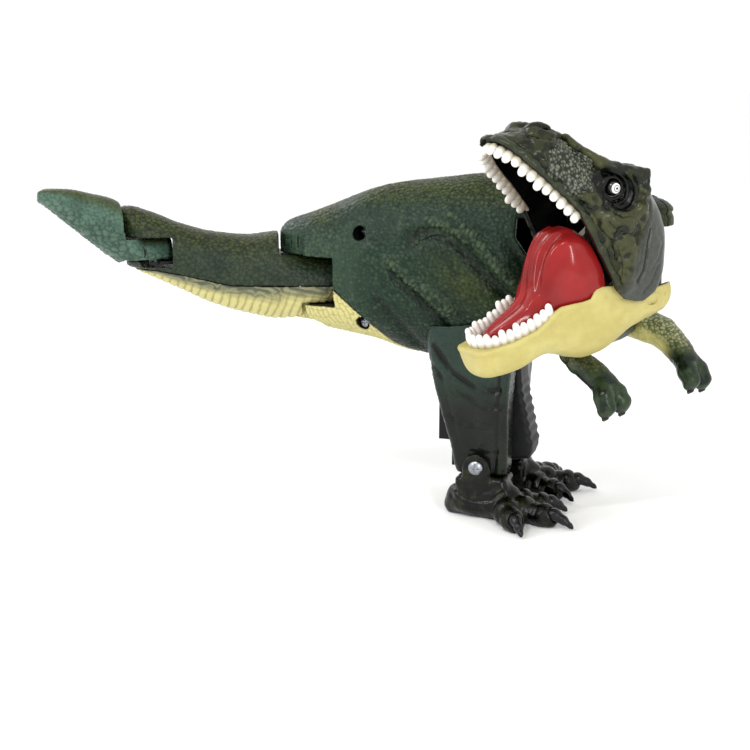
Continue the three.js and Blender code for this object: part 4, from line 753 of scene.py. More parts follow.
V, F, N = solve(f, (-98, -28, 64), (-25, 28, 98), 0.62)
X, Y, Z = V.T
face = sstep(-0.5, -0.1, trunk_outer(X, Y, Z))
w = fbm(X / 6, Y / 6, Z / 6, 4, 2)
under = sstep(16, 9, np.abs(Y))
ribx = X + 0.28 * Z + 1.2 * (w - 0.5) * 2 - 0.5 * np.abs(Y) * under
rib = np.abs(np.sin(ribx * math.pi / 2.5))
row = np.floor(ribx / 2.5)
cut = np.abs(np.sin((np.where(np.abs(N[:, 2]) > 0.75, Y, Z) / 3.4 + hashf(row.astype(np.int64), 0 * row.astype(np.int64), 0 * row.astype(np.int64), 3)) * math.pi))
h = sstep(0.1, 0.65, rib) * sstep(0.02, 0.3, cut)
V2 = V + N * ((0.42 * h - 0.3) * face)[:, None]
col = tint(flat(CREAM_D, len(V)), CREAM_C, sstep(0.1, 0.6, h) * 0.8 + 0.2)
col = tint(col, srgb(150, 150, 98), sstep(90, 97, Z) * 0.5)
# painted shade: inside faces of the belly shell dark
col = tint(flat(srgb(40, 40, 28), len(V)), col, face)
piece("belly_skin", V2, F, col, M_ROOT, "body", "cream_shell", CREAM, "belly_plate")


# ---------------------------------------------------------------- skull (x from the head pin, z from the palate line, y to the left)
SKULL = Loft(
    [
        [-3, 10, -20, 22.4],
        [0.5, 17, -23, 23.2],
        [7, 26.5, -26.5, 23.7],
        [15, 31, -26, 24],
        [25, 33.5, -21, 23.6],
        [34, 31.5, -16.5, 22.4],
        [44, 27, -11.5, 21.4],
        [56, 25.5, -10, 18.6],
        [68, 24, -8.5, 15.8],
        [74, 18.4, -7.5, 13.0],
        [79, 12.4, -6.6, 10.0],
        [83.0, 9.4, -6, 6.4],
    ],
    2.6,
    3.0,
)
SKULL_IN = Loft(
    [
        [-9, 5, -40, 19.4],
        [-3, 7.6, -20, 20.0],
        [0.5, 14.6, -23, 20.8],
        [7, 24.1, -26.5, 21.3],
        [15, 28.6, -26, 21.7],
        [25, 31.0, -21, 21.2],
        [34, 29.0, -16.5, 20.0],
        [44, 24.6, -11.5, 19.0],
        [56, 23.1, -10, 16.2],
        [68, 21.1, -8.5, 13.4],
        [74, 15.8, -7.5, 10.6],
        [79, 9.8, -6.6, 7.6],
        [81.0, 8.4, -6, 5.4],
    ],
    2.6,
    1.0,
)
LIP = np.array([(-30, 3), (-3.8, 2), (1, -8.6), (4, -10.4), (8, -12.2), (14, -11.6), (24, -7), (36, -1.5), (46, 3), (66, 5.4), (84, 8.2), (120, 8.2)], float)
PATCH = (56.0, 14.6, 11.6, 8.6)


def neck_plug(X, Y, Z):
    d = cylz(X, Y, Z, 0, 0, 126.6, 139.8, 10.4)
    d = np.minimum(d, box(X, Y, Z, -36, 0, -10.1, 10.1, 112.3, 139.8))
    for z0, z1, r in ((100.6, 128.3, 15.3), (87.4, 100.8, 17.1), (128.2, 147, 14.8)):
        d = np.minimum(d, cylz(X, Y, Z, -36, 0, z0, z1, r))
    return d


def neck_pass(X, Y, Z, px, pz, opened, closed, steps):
    """room for the neck: its outline at steps of the motion, in the frame of the skull or the jaw"""
    best = np.full(X.shape, 99.0)
    for k in range(steps + 1):
        f = k / steps
        M = RZ(-104 * (1 - f)) @ T(px, 0, PALATE + pz) @ RY(-(opened + (closed - opened) * f)) @ T(-px, 0, -pz)
        x, y, z = [M[r, 0] * X + M[r, 1] * Y + M[r, 2] * Z + M[r, 3] for r in range(3)]
        best = np.minimum(best, neck_plug(x, y, z))
    return best


def patch_of(X, Z):
    """the pebbled panel of the snout: below 0 inside"""
    c, s = math.cos(rad(6)), math.sin(rad(6))
    u, v = (X - PATCH[0]) * c + (Z - PATCH[1]) * s, -(X - PATCH[0]) * s + (Z - PATCH[1]) * c
    wob = 0.9 * np.sin(u * 0.55 + 1.0) + 0.6 * np.sin(v * 0.8)
    return (np.sqrt((u / PATCH[2]) ** 2 + (v / PATCH[3]) ** 2) - 1) * PATCH[3] + wob


def skull_outer(X, Y, Z):
    y = np.abs(Y)
    d = SKULL(X, Y, Z)
    d = smin(d, ell(X, y, Z, (68.2, 6.4, 19.2), (6.4, 4.6, 4.4)), 2.5)
    d = smin(d, ell(X, y, Z, (29, 20.0, 8.5), (9, 4.9, 5.5)), 3)
    d = smin(d, ell(X, y, Z, (44, 19.6, 8.2), (4.6, 3.0, 3.0)), 1.6)
    d = smin(d, limb(X, y, Z, [(31, 21.2, 11.5, 2.4), (22, 22.0, 4.5, 2.6), (14.5, 22.6, -3, 2.2), (10.5, 22.2, -8, 2.0)], 2.5), 2.5)
    d = smin(d, limb(X, y, Z, [(27, 20.5, 26, 2.2), (24.5, 22.0, 19, 2.0), (27, 22.2, 13, 1.8)], 2), 1.8)
    # eye socket with its lids
    d = smax(d, -ell(X, y, Z, (36.6, 26.2, 18.4), (10.8, 7.8, 7.2)), 0.9)
    d = smin(d, limb(X, y, Z, [(60, 9.0, 24.0, 1.4), (52, 14.2, 22.4, 1.8), (46, 17.2, 23.2, 2.2), (41, 18.8, 25.0, 2.4), (36, 20.4, 27.4, 1.9), (32, 20.8, 29.6, 1.9), (29.2, 20.6, 31.0, 1.8), (26.4, 21.6, 26.0, 1.8), (24.8, 21.8, 21, 1.5)], 1.2), 1.0)
    d = smin(d, ell(X, y, Z, (30.5, 15.4, 28.2), (7.0, 6.4, 4.0)), 1.5)
    ro = np.hypot((X - 38.2) / 1.2, Z - 18.2)
    d = smin(d, np.sqrt((ro - 3.7) ** 2 + (y - 20.1) ** 2) - 0.75, 0.6)
    d = smin(d, np.sqrt((ro - 5.7) ** 2 + (y - 20.7) ** 2) - 0.6 + 0.8 * sstep(38, 43, X), 0.6)
    rb = np.hypot((X - 37.6) / 1.3, Z - 18.0)
    d = smin(d, np.sqrt((rb - 7.6) ** 2 + (y - 21.9) ** 2) - 0.65 + 1.5 * sstep(36, 41, X), 0.7)
    # nostril
    d = smax(d, -ell(X, y, Z, (70.0, 8.8, 22.4), (3.0, 2.0, 1.7)), 0.8)
    return d


def skull_form(X, y, Z):
    """creases and rims on the side of the head"""
    t = Z - np.interp(X, LIP[:, 0], LIP[:, 1])
    side = sstep(4, 9, y)
    d = 0.55 * sstep(2.7, 1.9, t) * sstep(-3, 0, t) * sstep(8, 16, X)
    d -= 0.45 * np.exp(-(((t - 3.0) / 0.55) ** 2)) * sstep(10, 18, X)
    p = patch_of(X, Z)
    d -= 0.55 * np.exp(-((p / 0.55) ** 2)) * side
    d += 0.45 * np.exp(-(((p - 1.5) / 0.9) ** 2)) * side
    for pts, a, w in (
        ([(15.3, 15), (13.6, 10), (11, 5.5), (8.6, 0.5), (8.2, -4)], -0.9, 0.75),
        ([(50.4, 4.4), (46.5, 6.0), (44.5, 3.9), (40, 5.6), (35, 3.0), (28, 1.5), (22, -3)], -0.8, 0.7),
        ([(40, 12.5), (36, 9.7), (31, 10.0), (26.5, 13.5)], -0.7, 0.8),
        ([(34, 6.4), (28, 5.6), (21.5, 8.5), (19, 13)], -0.6, 0.8),
        ([(48.5, 20), (47.2, 15.5), (48.5, 10.5)], -0.7, 0.9),
        ([(3.2, -6), (2.4, -1), (3.6, 6)], -0.6, 0.8),
        ([(6.4, 14), (5.4, 8.5), (5.8, 2)], -0.4, 0.7),
        ([(11.6, -3), (12.6, 3), (15.5, 8.5)], -0.5, 0.7),
        ([(25, 1.5), (19, -2.5), (15.5, -7.5)], -0.5, 0.7),
        ([(21, 24), (18.6, 19), (18.8, 13)], -0.6, 0.8),
        ([(74, 15.5), (69.5, 17.5), (66, 21)], -0.5, 0.7),
    ):
        r, _ = line2(X, Z, pts)
        d += a * np.exp(-((r / w) ** 2)) * side
    return d


def skull_shell(X, Y, Z):
    out = skull_outer(X, Y, Z)
    near = np.abs(out) < 2.5
    out = out.copy()
    x, y, z = X[near], Y[near], Z[near]
    out[near] -= skull_form(x, np.abs(y), z)
    inner = SKULL_IN(X, Y, Z)
    y = np.abs(Y)
    boss = np.maximum(np.hypot(X - 20, Z - 14) - 4.4, 18.2 - y)
    inner = np.maximum(inner, -boss)
    d = smax(out, -inner, 0.5)
    d = smax(d, (np.interp(X, LIP[:, 0], LIP[:, 1]) - Z) * 0.93, 0.7)
    d = smax(d, -neck_pass(X, Y, Z, 20, 14, 36, 5.67, 8), 0.4)
    d = smax(d, -cyly(X, Y, Z, 38.2, 18.2, -30, -17.5, 3.3), 0.3)
    d = smax(d, -cyly(X, Y, Z, 38.2, 18.2, 17.5, 30, 3.3), 0.3)
    d = smax(d, -cyly(X, Y, Z, 20, 14, -15.8, 20.4, 1.9), 0.2)
    return d


V, F, N = solve(skull_shell, (-4, -26, -14), (86, 26, 36), 0.5)
X, Y, Z = V.T
y = np.abs(Y)
out = skull_outer(X, Y, Z) - skull_form(X, y, Z)
face = sstep(-0.7, -0.2, out)
p = patch_of(X, Z)
inpatch = sstep(0.4, -0.4, p) * sstep(5, 10, y)
p1, i1 = pebbles(X, Y, Z, 1.35, 31, 0.4)
p3, i3 = pebbles(X * 1.0, Y, Z * 0.8, 2.6, 37, 0.5)
rid = 1 - np.abs(2 * fbm(X / 5.5, Y / 5.5, Z / 5.5, 41, 3) - 1)
rear = sstep(19, 12, X - 0.25 * (Z - 5))
eye_r = np.hypot((X - 37.6) / 1.4, Z - 18.1)
orbit = sstep(8.4, 6.2, eye_r) * sstep(10, 14, y) * sstep(27.5, 24.5, Z)
wr = sstep(0.45, 0.9, rid) * (1 - inpatch) * (1 - 0.8 * rear) * (1 - 0.7 * orbit) * (1 - 0.7 * sstep(24, 27, Z) * sstep(50, 44, X))
cheek = sstep(14, 22, X) * sstep(34, 26, X) * sstep(24, 18, Z)
h = 0.34 * inpatch * p1 + 1.05 * wr + 0.16 * p3 * (1 - inpatch) * (1 - rear) * (1 - orbit)
h += 0.15 * orbit * (0.5 + 0.5 * np.cos(eye_r * 2 * math.pi / 1.4)) * sstep(3.6, 4.6, eye_r)
h += 0.12 * cheek * p1
V2 = V + N * ((h - 0.3) * face)[:, None]
q = fbm(X / 9, Y / 9, Z / 9, 51, 3)
HEAD_C = srgb(50, 56, 46)
HEAD_O = srgb(66, 68, 42)
# painted shade for the creases of the head
HEAD_CREASE_SHADE = srgb(18, 21, 16)
HEAD_G = srgb(108, 111, 106)
col = tint(flat(HEAD_C, len(V)), HEAD_O, sstep(0.36, 0.62, q))
# painted highlight on the tops of the wrinkles
col = tint(col, srgb(104, 106, 74), sstep(0.6, 0.95, wr) * 0.6)
# painted shade in the narrow creases beside the wrinkle ridges
col = tint(col, HEAD_CREASE_SHADE, sstep(0.6, 0.7, rid) * sstep(0.88, 0.78, rid) * 0.5 * (1 - inpatch) * (1 - rear))
col = tint(col, HEAD_G, rear * 0.9)
col = tint(col, srgb(34, 37, 24), sstep(56, 66, X) * 0.55)
pc = tint(flat(srgb(56, 62, 52), len(V)), srgb(166, 170, 154), sstep(0.3, 0.85, p1))
col = tint(col, pc, inpatch * 0.9)
# painted shade in the hollow of the eye socket
col = tint(col, srgb(15, 17, 15), orbit * 0.9)
# painted shade in the moulded creases
col = tint(col, HEAD_CREASE_SHADE, sstep(0.2, 1.0, -skull_form(X, y, Z)) * 0.75)
t = Z - np.interp(X, LIP[:, 0], LIP[:, 1])
col = tint(col, srgb(74, 80, 62), sstep(2.4, 1.8, t) * sstep(10, 20, X) * 0.7)
# painted shade inside the nostril hollow
noz = np.sqrt(((X - 70.0) / 3.2) ** 2 + ((y - 8.8) / 2.4) ** 2 + ((Z - 22.0) / 2.2) ** 2)
col = tint(col, srgb(8, 9, 8), sstep(1.15, 0.85, noz))
# painted shade: inside faces and holes of the shell near-black
col = tint(flat(INSIDE_SHADE, len(V)), col, face)
piece("skull_skin", V2, F, col, M_SKULL, "skull", "olive_shell", HEAD, "skull_shell")


# ---------------------------------------------------------------- teeth
def spline(pts, n):
    """centripetal curve through the points, evenly spaced samples and directions"""
    p = np.array(pts, float)
    p = np.vstack([2 * p[0] - p[1], p, 2 * p[-1] - p[-2]])
    out = []
    for i in range(1, len(p) - 2):
        a, b, c, d = p[i - 1 : i + 3]
        for t in np.linspace(0, 1, 40, endpoint=False):
            out.append(0.5 * ((2 * b) + (c - a) * t + (2 * a - 5 * b + 4 * c - d) * t**2 + (-a + 3 * b - 3 * c + d) * t**3))
    out.append(p[-2])
    out = np.array(out)
    s = np.concatenate([[0], np.cumsum(np.linalg.norm(np.diff(out, axis=0), axis=1))])
    at = np.linspace(0, s[-1], 2 * n + 1)
    q = np.stack([np.interp(at, s, out[:, k]) for k in range(3)], 1)
    tan = np.gradient(q, axis=0)
    tan /= np.linalg.norm(tan, axis=1, keepdims=True)
    return q, tan, s[-1] / n


def teeth(pts, per_side, wide, long, root, up, lean=0.0, thick=1.5):
    q, tan, pitch = spline(pts, per_side * 2)
    idx = np.arange(1, len(q), 2)

    def f(X, Y, Z):
        d = np.full(X.shape, 99.0)
        for a, b in zip(q[::2], q[2::2]):
            d = smin(d, cone(X, Y, Z, (*(a * (0.985, 0.97, 1) + (0, 0, root)), 0.8), (*(b * (0.985, 0.97, 1) + (0, 0, root)), 0.8)), 0.3)
        for n, i in enumerate(idx):
            c, t = q[i], tan[i]
            ang = math.atan2(t[1], t[0])
            ca, sa = math.cos(ang), math.sin(ang)
            k = (1.0 + 0.13 * math.sin(n * 2.7 + 1.3) + 0.08 * math.cos(n * 5.1)) * (0.8 if n in (0, len(idx) - 1) else 1)
            nx, ny = -sa, ca
            sgn = 1 if nx * (c[0] - 50) + ny * c[1] > 0 else -1
            hz = long * 0.5 * k
            dz = Z - (c[2] + up * (hz - 0.6))
            sh = lean * up * dz * sgn
            dx, dy = X - c[0] - nx * sh, Y - c[1] - ny * sh
            u, v = dx * ca + dy * sa, -dx * sa + dy * ca
            taper = 1 - 0.1 * np.clip(up * dz / hz, -1, 1)
            a, b = wide * 0.47, thick
            col_d = (np.sqrt((u / taper / a) ** 2 + (v / taper / b) ** 2) - 1) * min(a, b)
            d = smin(d, smax(col_d, np.abs(dz) - hz - 0.6, 2.0), 0.12)
        return d

    return f, q


UP = [(43, 19.4, 1.9), (56, 16.8, 3.9), (68, 13.6, 5.0), (76.6, 8.9, 6.3), (80.6, 0, 7.0), (76.6, -8.9, 6.3), (68, -13.6, 5.0), (56, -16.8, 3.9), (43, -19.4, 1.9)]
DOWN = [(52.3, 14.45, -3.3), (59, 13.4, -6), (69, 10.9, -7.6), (77.5, 7.4, -7.6), (81.1, 0, -7.35), (77.5, -7.4, -7.6), (69, -10.9, -7.6), (59, -13.4, -6), (52.3, -14.45, -3.3)]
for name, pts, n, wide, long, root, up, M, body, node, lean in (
    ("upper_teeth_white", UP, 12, 3.8, 4.2, 0.4, -1, M_SKULL, "skull", "upper_teeth", 0.12),
    ("lower_teeth_white", DOWN, 12, 3.15, 5.6, -0.4, 1, M_JAW, "jaw", "lower_teeth", 0.1),
):
    f, q = teeth(pts, n, wide, long, root, up, lean)
    lo, hi = q.min(0) - 3, q.max(0) + 3
    lo[2] -= 6 if up < 0 else 1
    hi[2] += 7 if up > 0 else 1
    V, F, N = solve(f, lo, hi, 0.36, snap=2)
    X, Y, Z = V.T
    line = np.interp(X, q[: len(q) // 2, 0][np.argsort(q[: len(q) // 2, 0])], q[: len(q) // 2, 2][np.argsort(q[: len(q) // 2, 0])])
    root_t = sstep(0.2, 2.6, up * (Z - line))
    rd = fbm(X / 1.5, Y / 1.5, Z / 1.5, 61, 2)
    col = tint(flat(srgb(196, 188, 166), len(V)), srgb(246, 244, 238), root_t)
    cen = np.array([q[:, 0].mean() - 14, 0.0])
    # painted shade on the sides of the teeth that face into the mouth
    away = (N[:, 0] * (X - 40) + N[:, 1] * Y) / np.maximum(np.hypot(X - 40, Y), 1e-3)
    col = tint(col, srgb(190, 178, 152), sstep(0.1, -0.7, away) * 0.6)
    V2 = V + N * (0.05 * (rd - 0.5))[:, None]
    piece(name, V2, F, col, M, body, "white_part", WHITE, node)

# ---------------------------------------------------------------- eyes
for s, word in ((1, "left"), (-1, "right")):
    nu, nv, r = 120, 90, 3.0
    th = np.linspace(0, math.pi * 0.72, nv)
    ph = np.arange(nu) * 2 * math.pi / nu
    A, B = np.meshgrid(th, ph, indexing="ij")
    V = np.stack([np.sin(A) * np.cos(B) * r, s * np.cos(A) * r, np.sin(A) * np.sin(B) * r], -1).reshape(-1, 3)
    ring = np.sin(A).ravel() * r * np.where(A.ravel() < math.pi / 2, 1, 99)
    V = V + (38.2, 20.0 * s, 18.2)
    i = np.arange(nv - 1)[:, None] * nu + np.arange(nu)[None]
    j = np.arange(nv - 1)[:, None] * nu + (np.arange(nu)[None] + 1) % nu
    F = np.stack([i, i + nu, j + nu, j], -1).reshape(-1, 4)
    if s < 0:
        F = F[:, ::-1]
    V = np.vstack([V, [(38.2, (20.0 + 3.0 * math.cos(math.pi * 0.72)) * s, 18.2)]])
    last = (nv - 1) * nu
    capf = np.array([[last + k, len(V) - 1, len(V) - 1, last + (k + 1) % nu] for k in range(nu)])
    tri = np.array([[last + (k + 1) % nu, last + k, len(V) - 1] if s < 0 else [last + k, last + (k + 1) % nu, len(V) - 1] for k in range(nu)])
    ring = np.append(ring, 99)
    wob = 0.0
    white, black = srgb(240, 240, 236), srgb(8, 8, 9)
    col = flat(white, len(V))
    col = tint(col, black, sstep(1.88, 1.98, ring))
    col = tint(col, black, sstep(0.92, 1.0, ring) * sstep(1.3, 1.22, ring))
    dot = np.hypot(V[:, 0] - 38.2, V[:, 2] - 18.2)
    col = tint(col, black, sstep(0.56, 0.48, dot) * (ring < 2))
    quads = np.vstack([F, np.column_stack([tri, tri[:, 2]])])
    me_V = V
    # quads only, the closing fan as triangles in a second pass
    W = (V @ M_SKULL[:3, :3].T + M_SKULL[:3, 3]) * MM
    me = bpy.data.meshes.new(f"eyeball_{word}")
    me.from_pydata([tuple(v) for v in W], [], [tuple(a) for a in F.tolist()] + [tuple(a) for a in tri.tolist()])
    me.validate()
    me.polygons.foreach_set("use_smooth", np.ones(len(me.polygons), bool))
    at = me.color_attributes.new("paint", "FLOAT_COLOR", "POINT")
    rgba = np.ones((len(W), 4), np.float32)
    rgba[:, :3] = col
    at.data.foreach_set("color", rgba.ravel())
    me.materials.append(EYE)
    o = bpy.data.objects.new(f"eyeball_{word}", me)
    bpy.context.scene.collection.objects.link(o)
    # first and last rings meet in one point
    import bmesh

    bm = bmesh.new()
    bm.from_mesh(me)
    bmesh.ops.remove_doubles(bm, verts=bm.verts, dist=1e-7)
    bmesh.ops.recalc_face_normals(bm, faces=bm.faces)
    bm.to_mesh(me)
    bm.free()
    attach(o, "skull")
    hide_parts(f"eye_{word}")

# ---------------------------------------------------------------- lower jaw
JAW = Loft(
    [
        [-1.6, 1, -21.6, 16.2],
        [4, 3.4, -24.4, 18.8],
        [12, 5, -24.6, 19.6],
        [20, 5.4, -25, 19.8],
        [28, 5.4, -27.2, 19.6],
        [35, 5, -28.8, 19],
        [41, 4.6, -28.4, 18.4],
        [47, 4.2, -25.6, 17.6],
        [52.5, 3.6, -22, 16.8],
        [59, 2.6, -19.6, 16],
        [70, 0.6, -21.2, 13.4],
        [80, -0.4, -20.2, 10.6],
        [84.6, -1, -18.4, 8.2],
    ],
    2.9,
    2.6,
)
JAW_IN = Loft(
    [
        [-9, 17, -21, 14.4],
        [4, 19, -22, 16.4],
        [12, 21, -22.2, 17.2],
        [20, 21, -22.6, 17.4],
        [28, 21, -24.8, 17.2],
        [35, 20.6, -26.4, 16.6],
        [41, 20, -26, 16],
        [47, 19.6, -23.2, 15.2],
        [52.5, 19, -19.6, 14.4],
        [59, 18, -17.2, 13.6],
        [70, 16.6, -18.8, 11],
        [80, 15.6, -17.8, 8.2],
        [82, 15, -17, 7.6],
    ],
    2.9,
    1.0,
)
JLIP = np.array([(-30, -12.4), (-3, -12.4), (10, -10), (19, -5.6), (25, -2.8), (30, -1), (33.4, -0.8), (36.6, -3.5), (40, -3.3), (45, -2.4), (49, -1.8), (52, -2.4), (56, -4.4), (61, -6.6), (70, -7.8), (80, -7.6), (86, -6.6), (120, -6.6)], float)


def jaw_shell(X, Y, Z):
    out = JAW(X, Y, Z)
    near = np.abs(out) < 3
    out = out.copy()
    x, y, z = X[near], np.abs(Y[near]), Z[near]
    lip = np.interp(x, JLIP[:, 0], JLIP[:, 1])
    t = lip - z
    add = 0.3 * sstep(2.4, 1.6, t) * sstep(36, 42, x)
    add += 0.5 * (fbm(x / 8, Y[near] / 8, z / 8, 71, 2) - 0.5)
    r, _ = line2(x, z, [(30, -5), (22, -9.5), (15, -13), (9, -19)])
    add -= 0.35 * np.exp(-((r / 1.1) ** 2)) * sstep(9, 13, y)
    r, _ = line2(x, z, [(60, -16), (48, -18), (36, -21)])
    add -= 0.25 * np.exp(-((r / 1.4) ** 2)) * sstep(8, 11, y)
    out[near] -= add
    line = np.interp(X, JLIP[:, 0], JLIP[:, 1])
    # the gum that the teeth stand on
    inner = np.maximum(JAW_IN(X, Y, Z), np.minimum(np.minimum(Z - line + 3.2, X - 51), JAW(X, Y, Z) + 5.0))
    d = smax(out, -inner, 0.5)
    d = smax(d, Z - line, 0.6)
    d = smax(d, -neck_pass(X, Y, Z, 7, -14, -19.2, 8.8, 6), 0.4)
    # hinge ear inside the left wall, and the blind holes of the hinge in both sides
    ear = np.minimum(np.hypot(X - 7, Z + 14) - 4.2, poly(X, Z, [(4, -14), (10, -14), (11, -24), (3, -24)]))
    ear = np.maximum(ear, np.maximum(8.2 - Y, Y - 17.5))
    d = smin(d, np.maximum(ear, JAW(X, Y, Z)), 0.4)
    d = smax(d, -cyly(X, Y, Z, 7, -14, 4, 13.2, 1.9), 0.2)
    y = np.abs(Y)
    d = smax(d, -cyly(X, y, Z, 3.6, -15.6, 18.0, 30, 1.5), 0.4)
    ring = np.sqrt((np.hypot((X - 11.5) / 1.5, Z + 14.4) - 2.2) ** 2 + (y - 19.4) ** 2) - 0.55
    d = smin(d, ring, 0.5)
    return d


V, F, N = solve(jaw_shell, (-4, -22, -30.5), (86, 22, 1), 0.5)
X, Y, Z = V.T
face = sstep(-0.9, -0.4, JAW(X, Y, Z))
q = fbm(X / 8, Y / 8, Z / 8, 81, 3)
f1 = fbm(X / 1.6, Y / 1.6, Z / 1.6, 83, 2)
V2 = V + N * (0.09 * (f1 - 0.5) * face)[:, None]
col = tint(flat(srgb(210, 196, 120), len(V)), srgb(220, 208, 134), sstep(0.3, 0.7, q))
col = tint(col, srgb(188, 174, 98), sstep(-20, -27, Z) * 0.5)
lip = np.interp(X, JLIP[:, 0], JLIP[:, 1])
col = tint(col, srgb(214, 200, 116), sstep(0.7, 0.0, np.abs(lip - Z - 2.6)) * 0.35)
inner = np.maximum(sstep(0.3, -0.3, JAW_IN(X, Y, Z) - 0.5), 0)
# painted shade: inside faces of the jaw dark, except the gum
col = tint(flat(srgb(40, 20, 18), len(V)), col, np.maximum(face, sstep(-3.4, -2.4, Z - lip) * sstep(51, 54, X)))
piece("jaw_skin", V2, F, col, M_JAW, "jaw", "cream_shell", CREAM, "lower_jaw")

# ---------------------------------------------------------------- tongue and throat lining: one glossy sheet
TONGUE = np.array(
    [
        [30.5, 22, -1.5, 17.0],
        [33, 23.4, -2.5, 17.0],
        [37, 23.2, -4.2, 16.4],
        [41, 20.8, -5.4, 15.8],
        [46, 15.2, -6.8, 14.4],
        [50, 9.6, -7.8, 12.8],
        [54, 4.6, -8.7, 11.2],
        [59, 0.8, -9.4, 9.8],
        [66, -1.2, -9.8, 8.4],
        [71, -2.6, -9.9, 6.6],
        [74.5, -4.2, -9.7, 4.2],
        [76.2, -6.2, -9.4, 1.8],
    ],
    float,
)
nu, nv = 121, 150
xs = np.linspace(TONGUE[0, 0], TONGUE[-1, 0], nv)
zc, ze, hw = [pchip(TONGUE[:, 0], TONGUE[:, k], xs) for k in (1, 2, 3)]
u = np.linspace(-1, 1, nu)
Uu, Xx = np.meshgrid(u, xs)


def sheet_points(th):
    zz = ze[:, None] + (zc - ze)[:, None] * np.maximum(0, 1 - np.abs(Uu) ** np.where(Uu > 0, 5.0, 2.2)) ** 0.5
    wide = 1 + 0.1 * sstep(-1, 4, zz) * sstep(47, 38, Xx)
    fold = sstep(58, 44, Xx) * (1 - np.abs(Uu) ** 3)
    along = Uu * 2.6 + 0.35 * np.sin(Xx * 0.16 + 1) + 0.2 * np.sin(Xx * 0.31)
    w = 1.2 * np.sin(along * math.pi) * fold + 0.6 * np.sin(along * 2.1 * math.pi + 1.0) * fold
    tong = sstep(50, 58, Xx)
    groove = -1.1 * np.exp(-((Uu / 0.22) ** 2)) * tong + 0.5 * np.exp(-(((np.abs(Uu) - 0.75) / 0.16) ** 2)) * tong
    ripple = 0.25 * np.sin(Xx * 0.9 + 2 * Uu) * sstep(46, 52, Xx) * sstep(60, 54, Xx)
    xo = Xx + 0.8 * sstep(36, 31, Xx) * (1 - Uu**4) - th * 0.6 * sstep(50, 40, Xx) + w * 0.8 * sstep(31, 36, Xx) - np.where(Uu < 0, 4.2, 1.5) * np.abs(Uu) ** 4 * sstep(46, 33, Xx)
    yo = Uu * hw[:, None] * wide * (1 - 0.05 * (th > 0)) + 0.25 * w
    return np.stack([xo, yo, zz + groove + ripple + 0.35 * w - th], -1)


top, bot = sheet_points(0.0).reshape(-1, 3), sheet_points(1.5).reshape(-1, 3)
V = np.vstack([top, bot])
a = (np.arange(nv - 1)[:, None] * nu + np.arange(nu - 1)[None]).ravel()
Ft = np.stack([a, a + nu, a + nu + 1, a + 1], 1)
Fb = Ft[:, ::-1] + nv * nu
rim = []
for k in range(nu - 1):
    rim.append([k, k + 1, k + 1 + nv * nu, k + nv * nu])
    j = (nv - 1) * nu + k
    rim.append([j + 1, j, j + nv * nu, j + 1 + nv * nu])
for k in range(nv - 1):
    j = k * nu
    rim.append([j + nu, j, j + nv * nu, j + nu + nv * nu])
    j = k * nu + nu - 1
    rim.append([j, j + nu, j + nu + nv * nu, j + nv * nu])
F = np.vstack([Ft, Fb, np.array(rim)])
X, Y, Z = V.T
q = fbm(X / 7, Y / 7, Z / 7, 91, 2)
col = tint(flat(srgb(138, 0, 22), len(V)), srgb(164, 6, 32), q)
col = tint(col, srgb(96, 8, 20), sstep(56, 50, X) * sstep(44, 50, X) * 0.35)
TONG = piece("tongue_sheet", V, F, col, M_JAW, "jaw", "red_part", RED, "tongue_lining")
import bmesh

bm = bmesh.new()
bm.from_mesh(TONG.data)
bmesh.ops.recalc_face_normals(bm, faces=bm.faces)
bm.to_mesh(TONG.data)
bm.free()

# ---------------------------------------------------------------- tail, middle section
MID = Loft(
    [
        [14.5, 108.2, 88.3, 14],
        [10, 108.2, 88.3, 17],
        [0, 108.4, 83, 17.6],
        [-12, 112, 80, 18.6],
        [-19, 118.2, 79.8, 18.6],
        [-32, 116.9, 82.2, 17.6],
        [-48, 118.5, 87, 16],
        [-62, 122.3, 93.5, 14.2],
        [-75, 127.5, 99.5, 12.2],
        [-84, 130, 103.5, 9.6],
        [-88, 130, 106, 6],
    ],
    2.25,
    2.0,
)


def mid_plain(X, Y, Z):
    d = MID(X, Y, Z)
    r = np.hypot(X, Y)
    near = X * math.cos(rad(24)) - Y * math.sin(rad(24)) - 14.2 + 30 * sstep(-2, 4, Y)
    d = smax(d, np.where(X > -8, np.minimum(r - 14.6, near), -9), 0.5)
    d = smax(d, np.where(X > -8, smax(87.9 - Z, Z - 108.5, 0.6), -9), 0.6)
    d = smax(d, -smax(18.3 - r, 108.6 - Z, 0.8) if False else -np.maximum(r - 18.3, 108.6 - Z), 0.7)
    d = smax(d, np.where((X > -18.4) & (Z > 106), Z - 108.5, -9), 0.5)
    d = smax(d, -np.maximum(13.7 * 0 + np.where(X > -20, 1, -1) * 0 + (r - 13.7), Z - 88.0), 0.6)
    d = smax(d, -np.maximum(-9 - X, Z - 88.0), 0.6)
    rt = np.hypot(X + 75, Y)
    d = smax(d, np.where(X < -75, np.where(Z > 110, rt - 12.5, rt - 10.5), -9), 0.6)
    return d


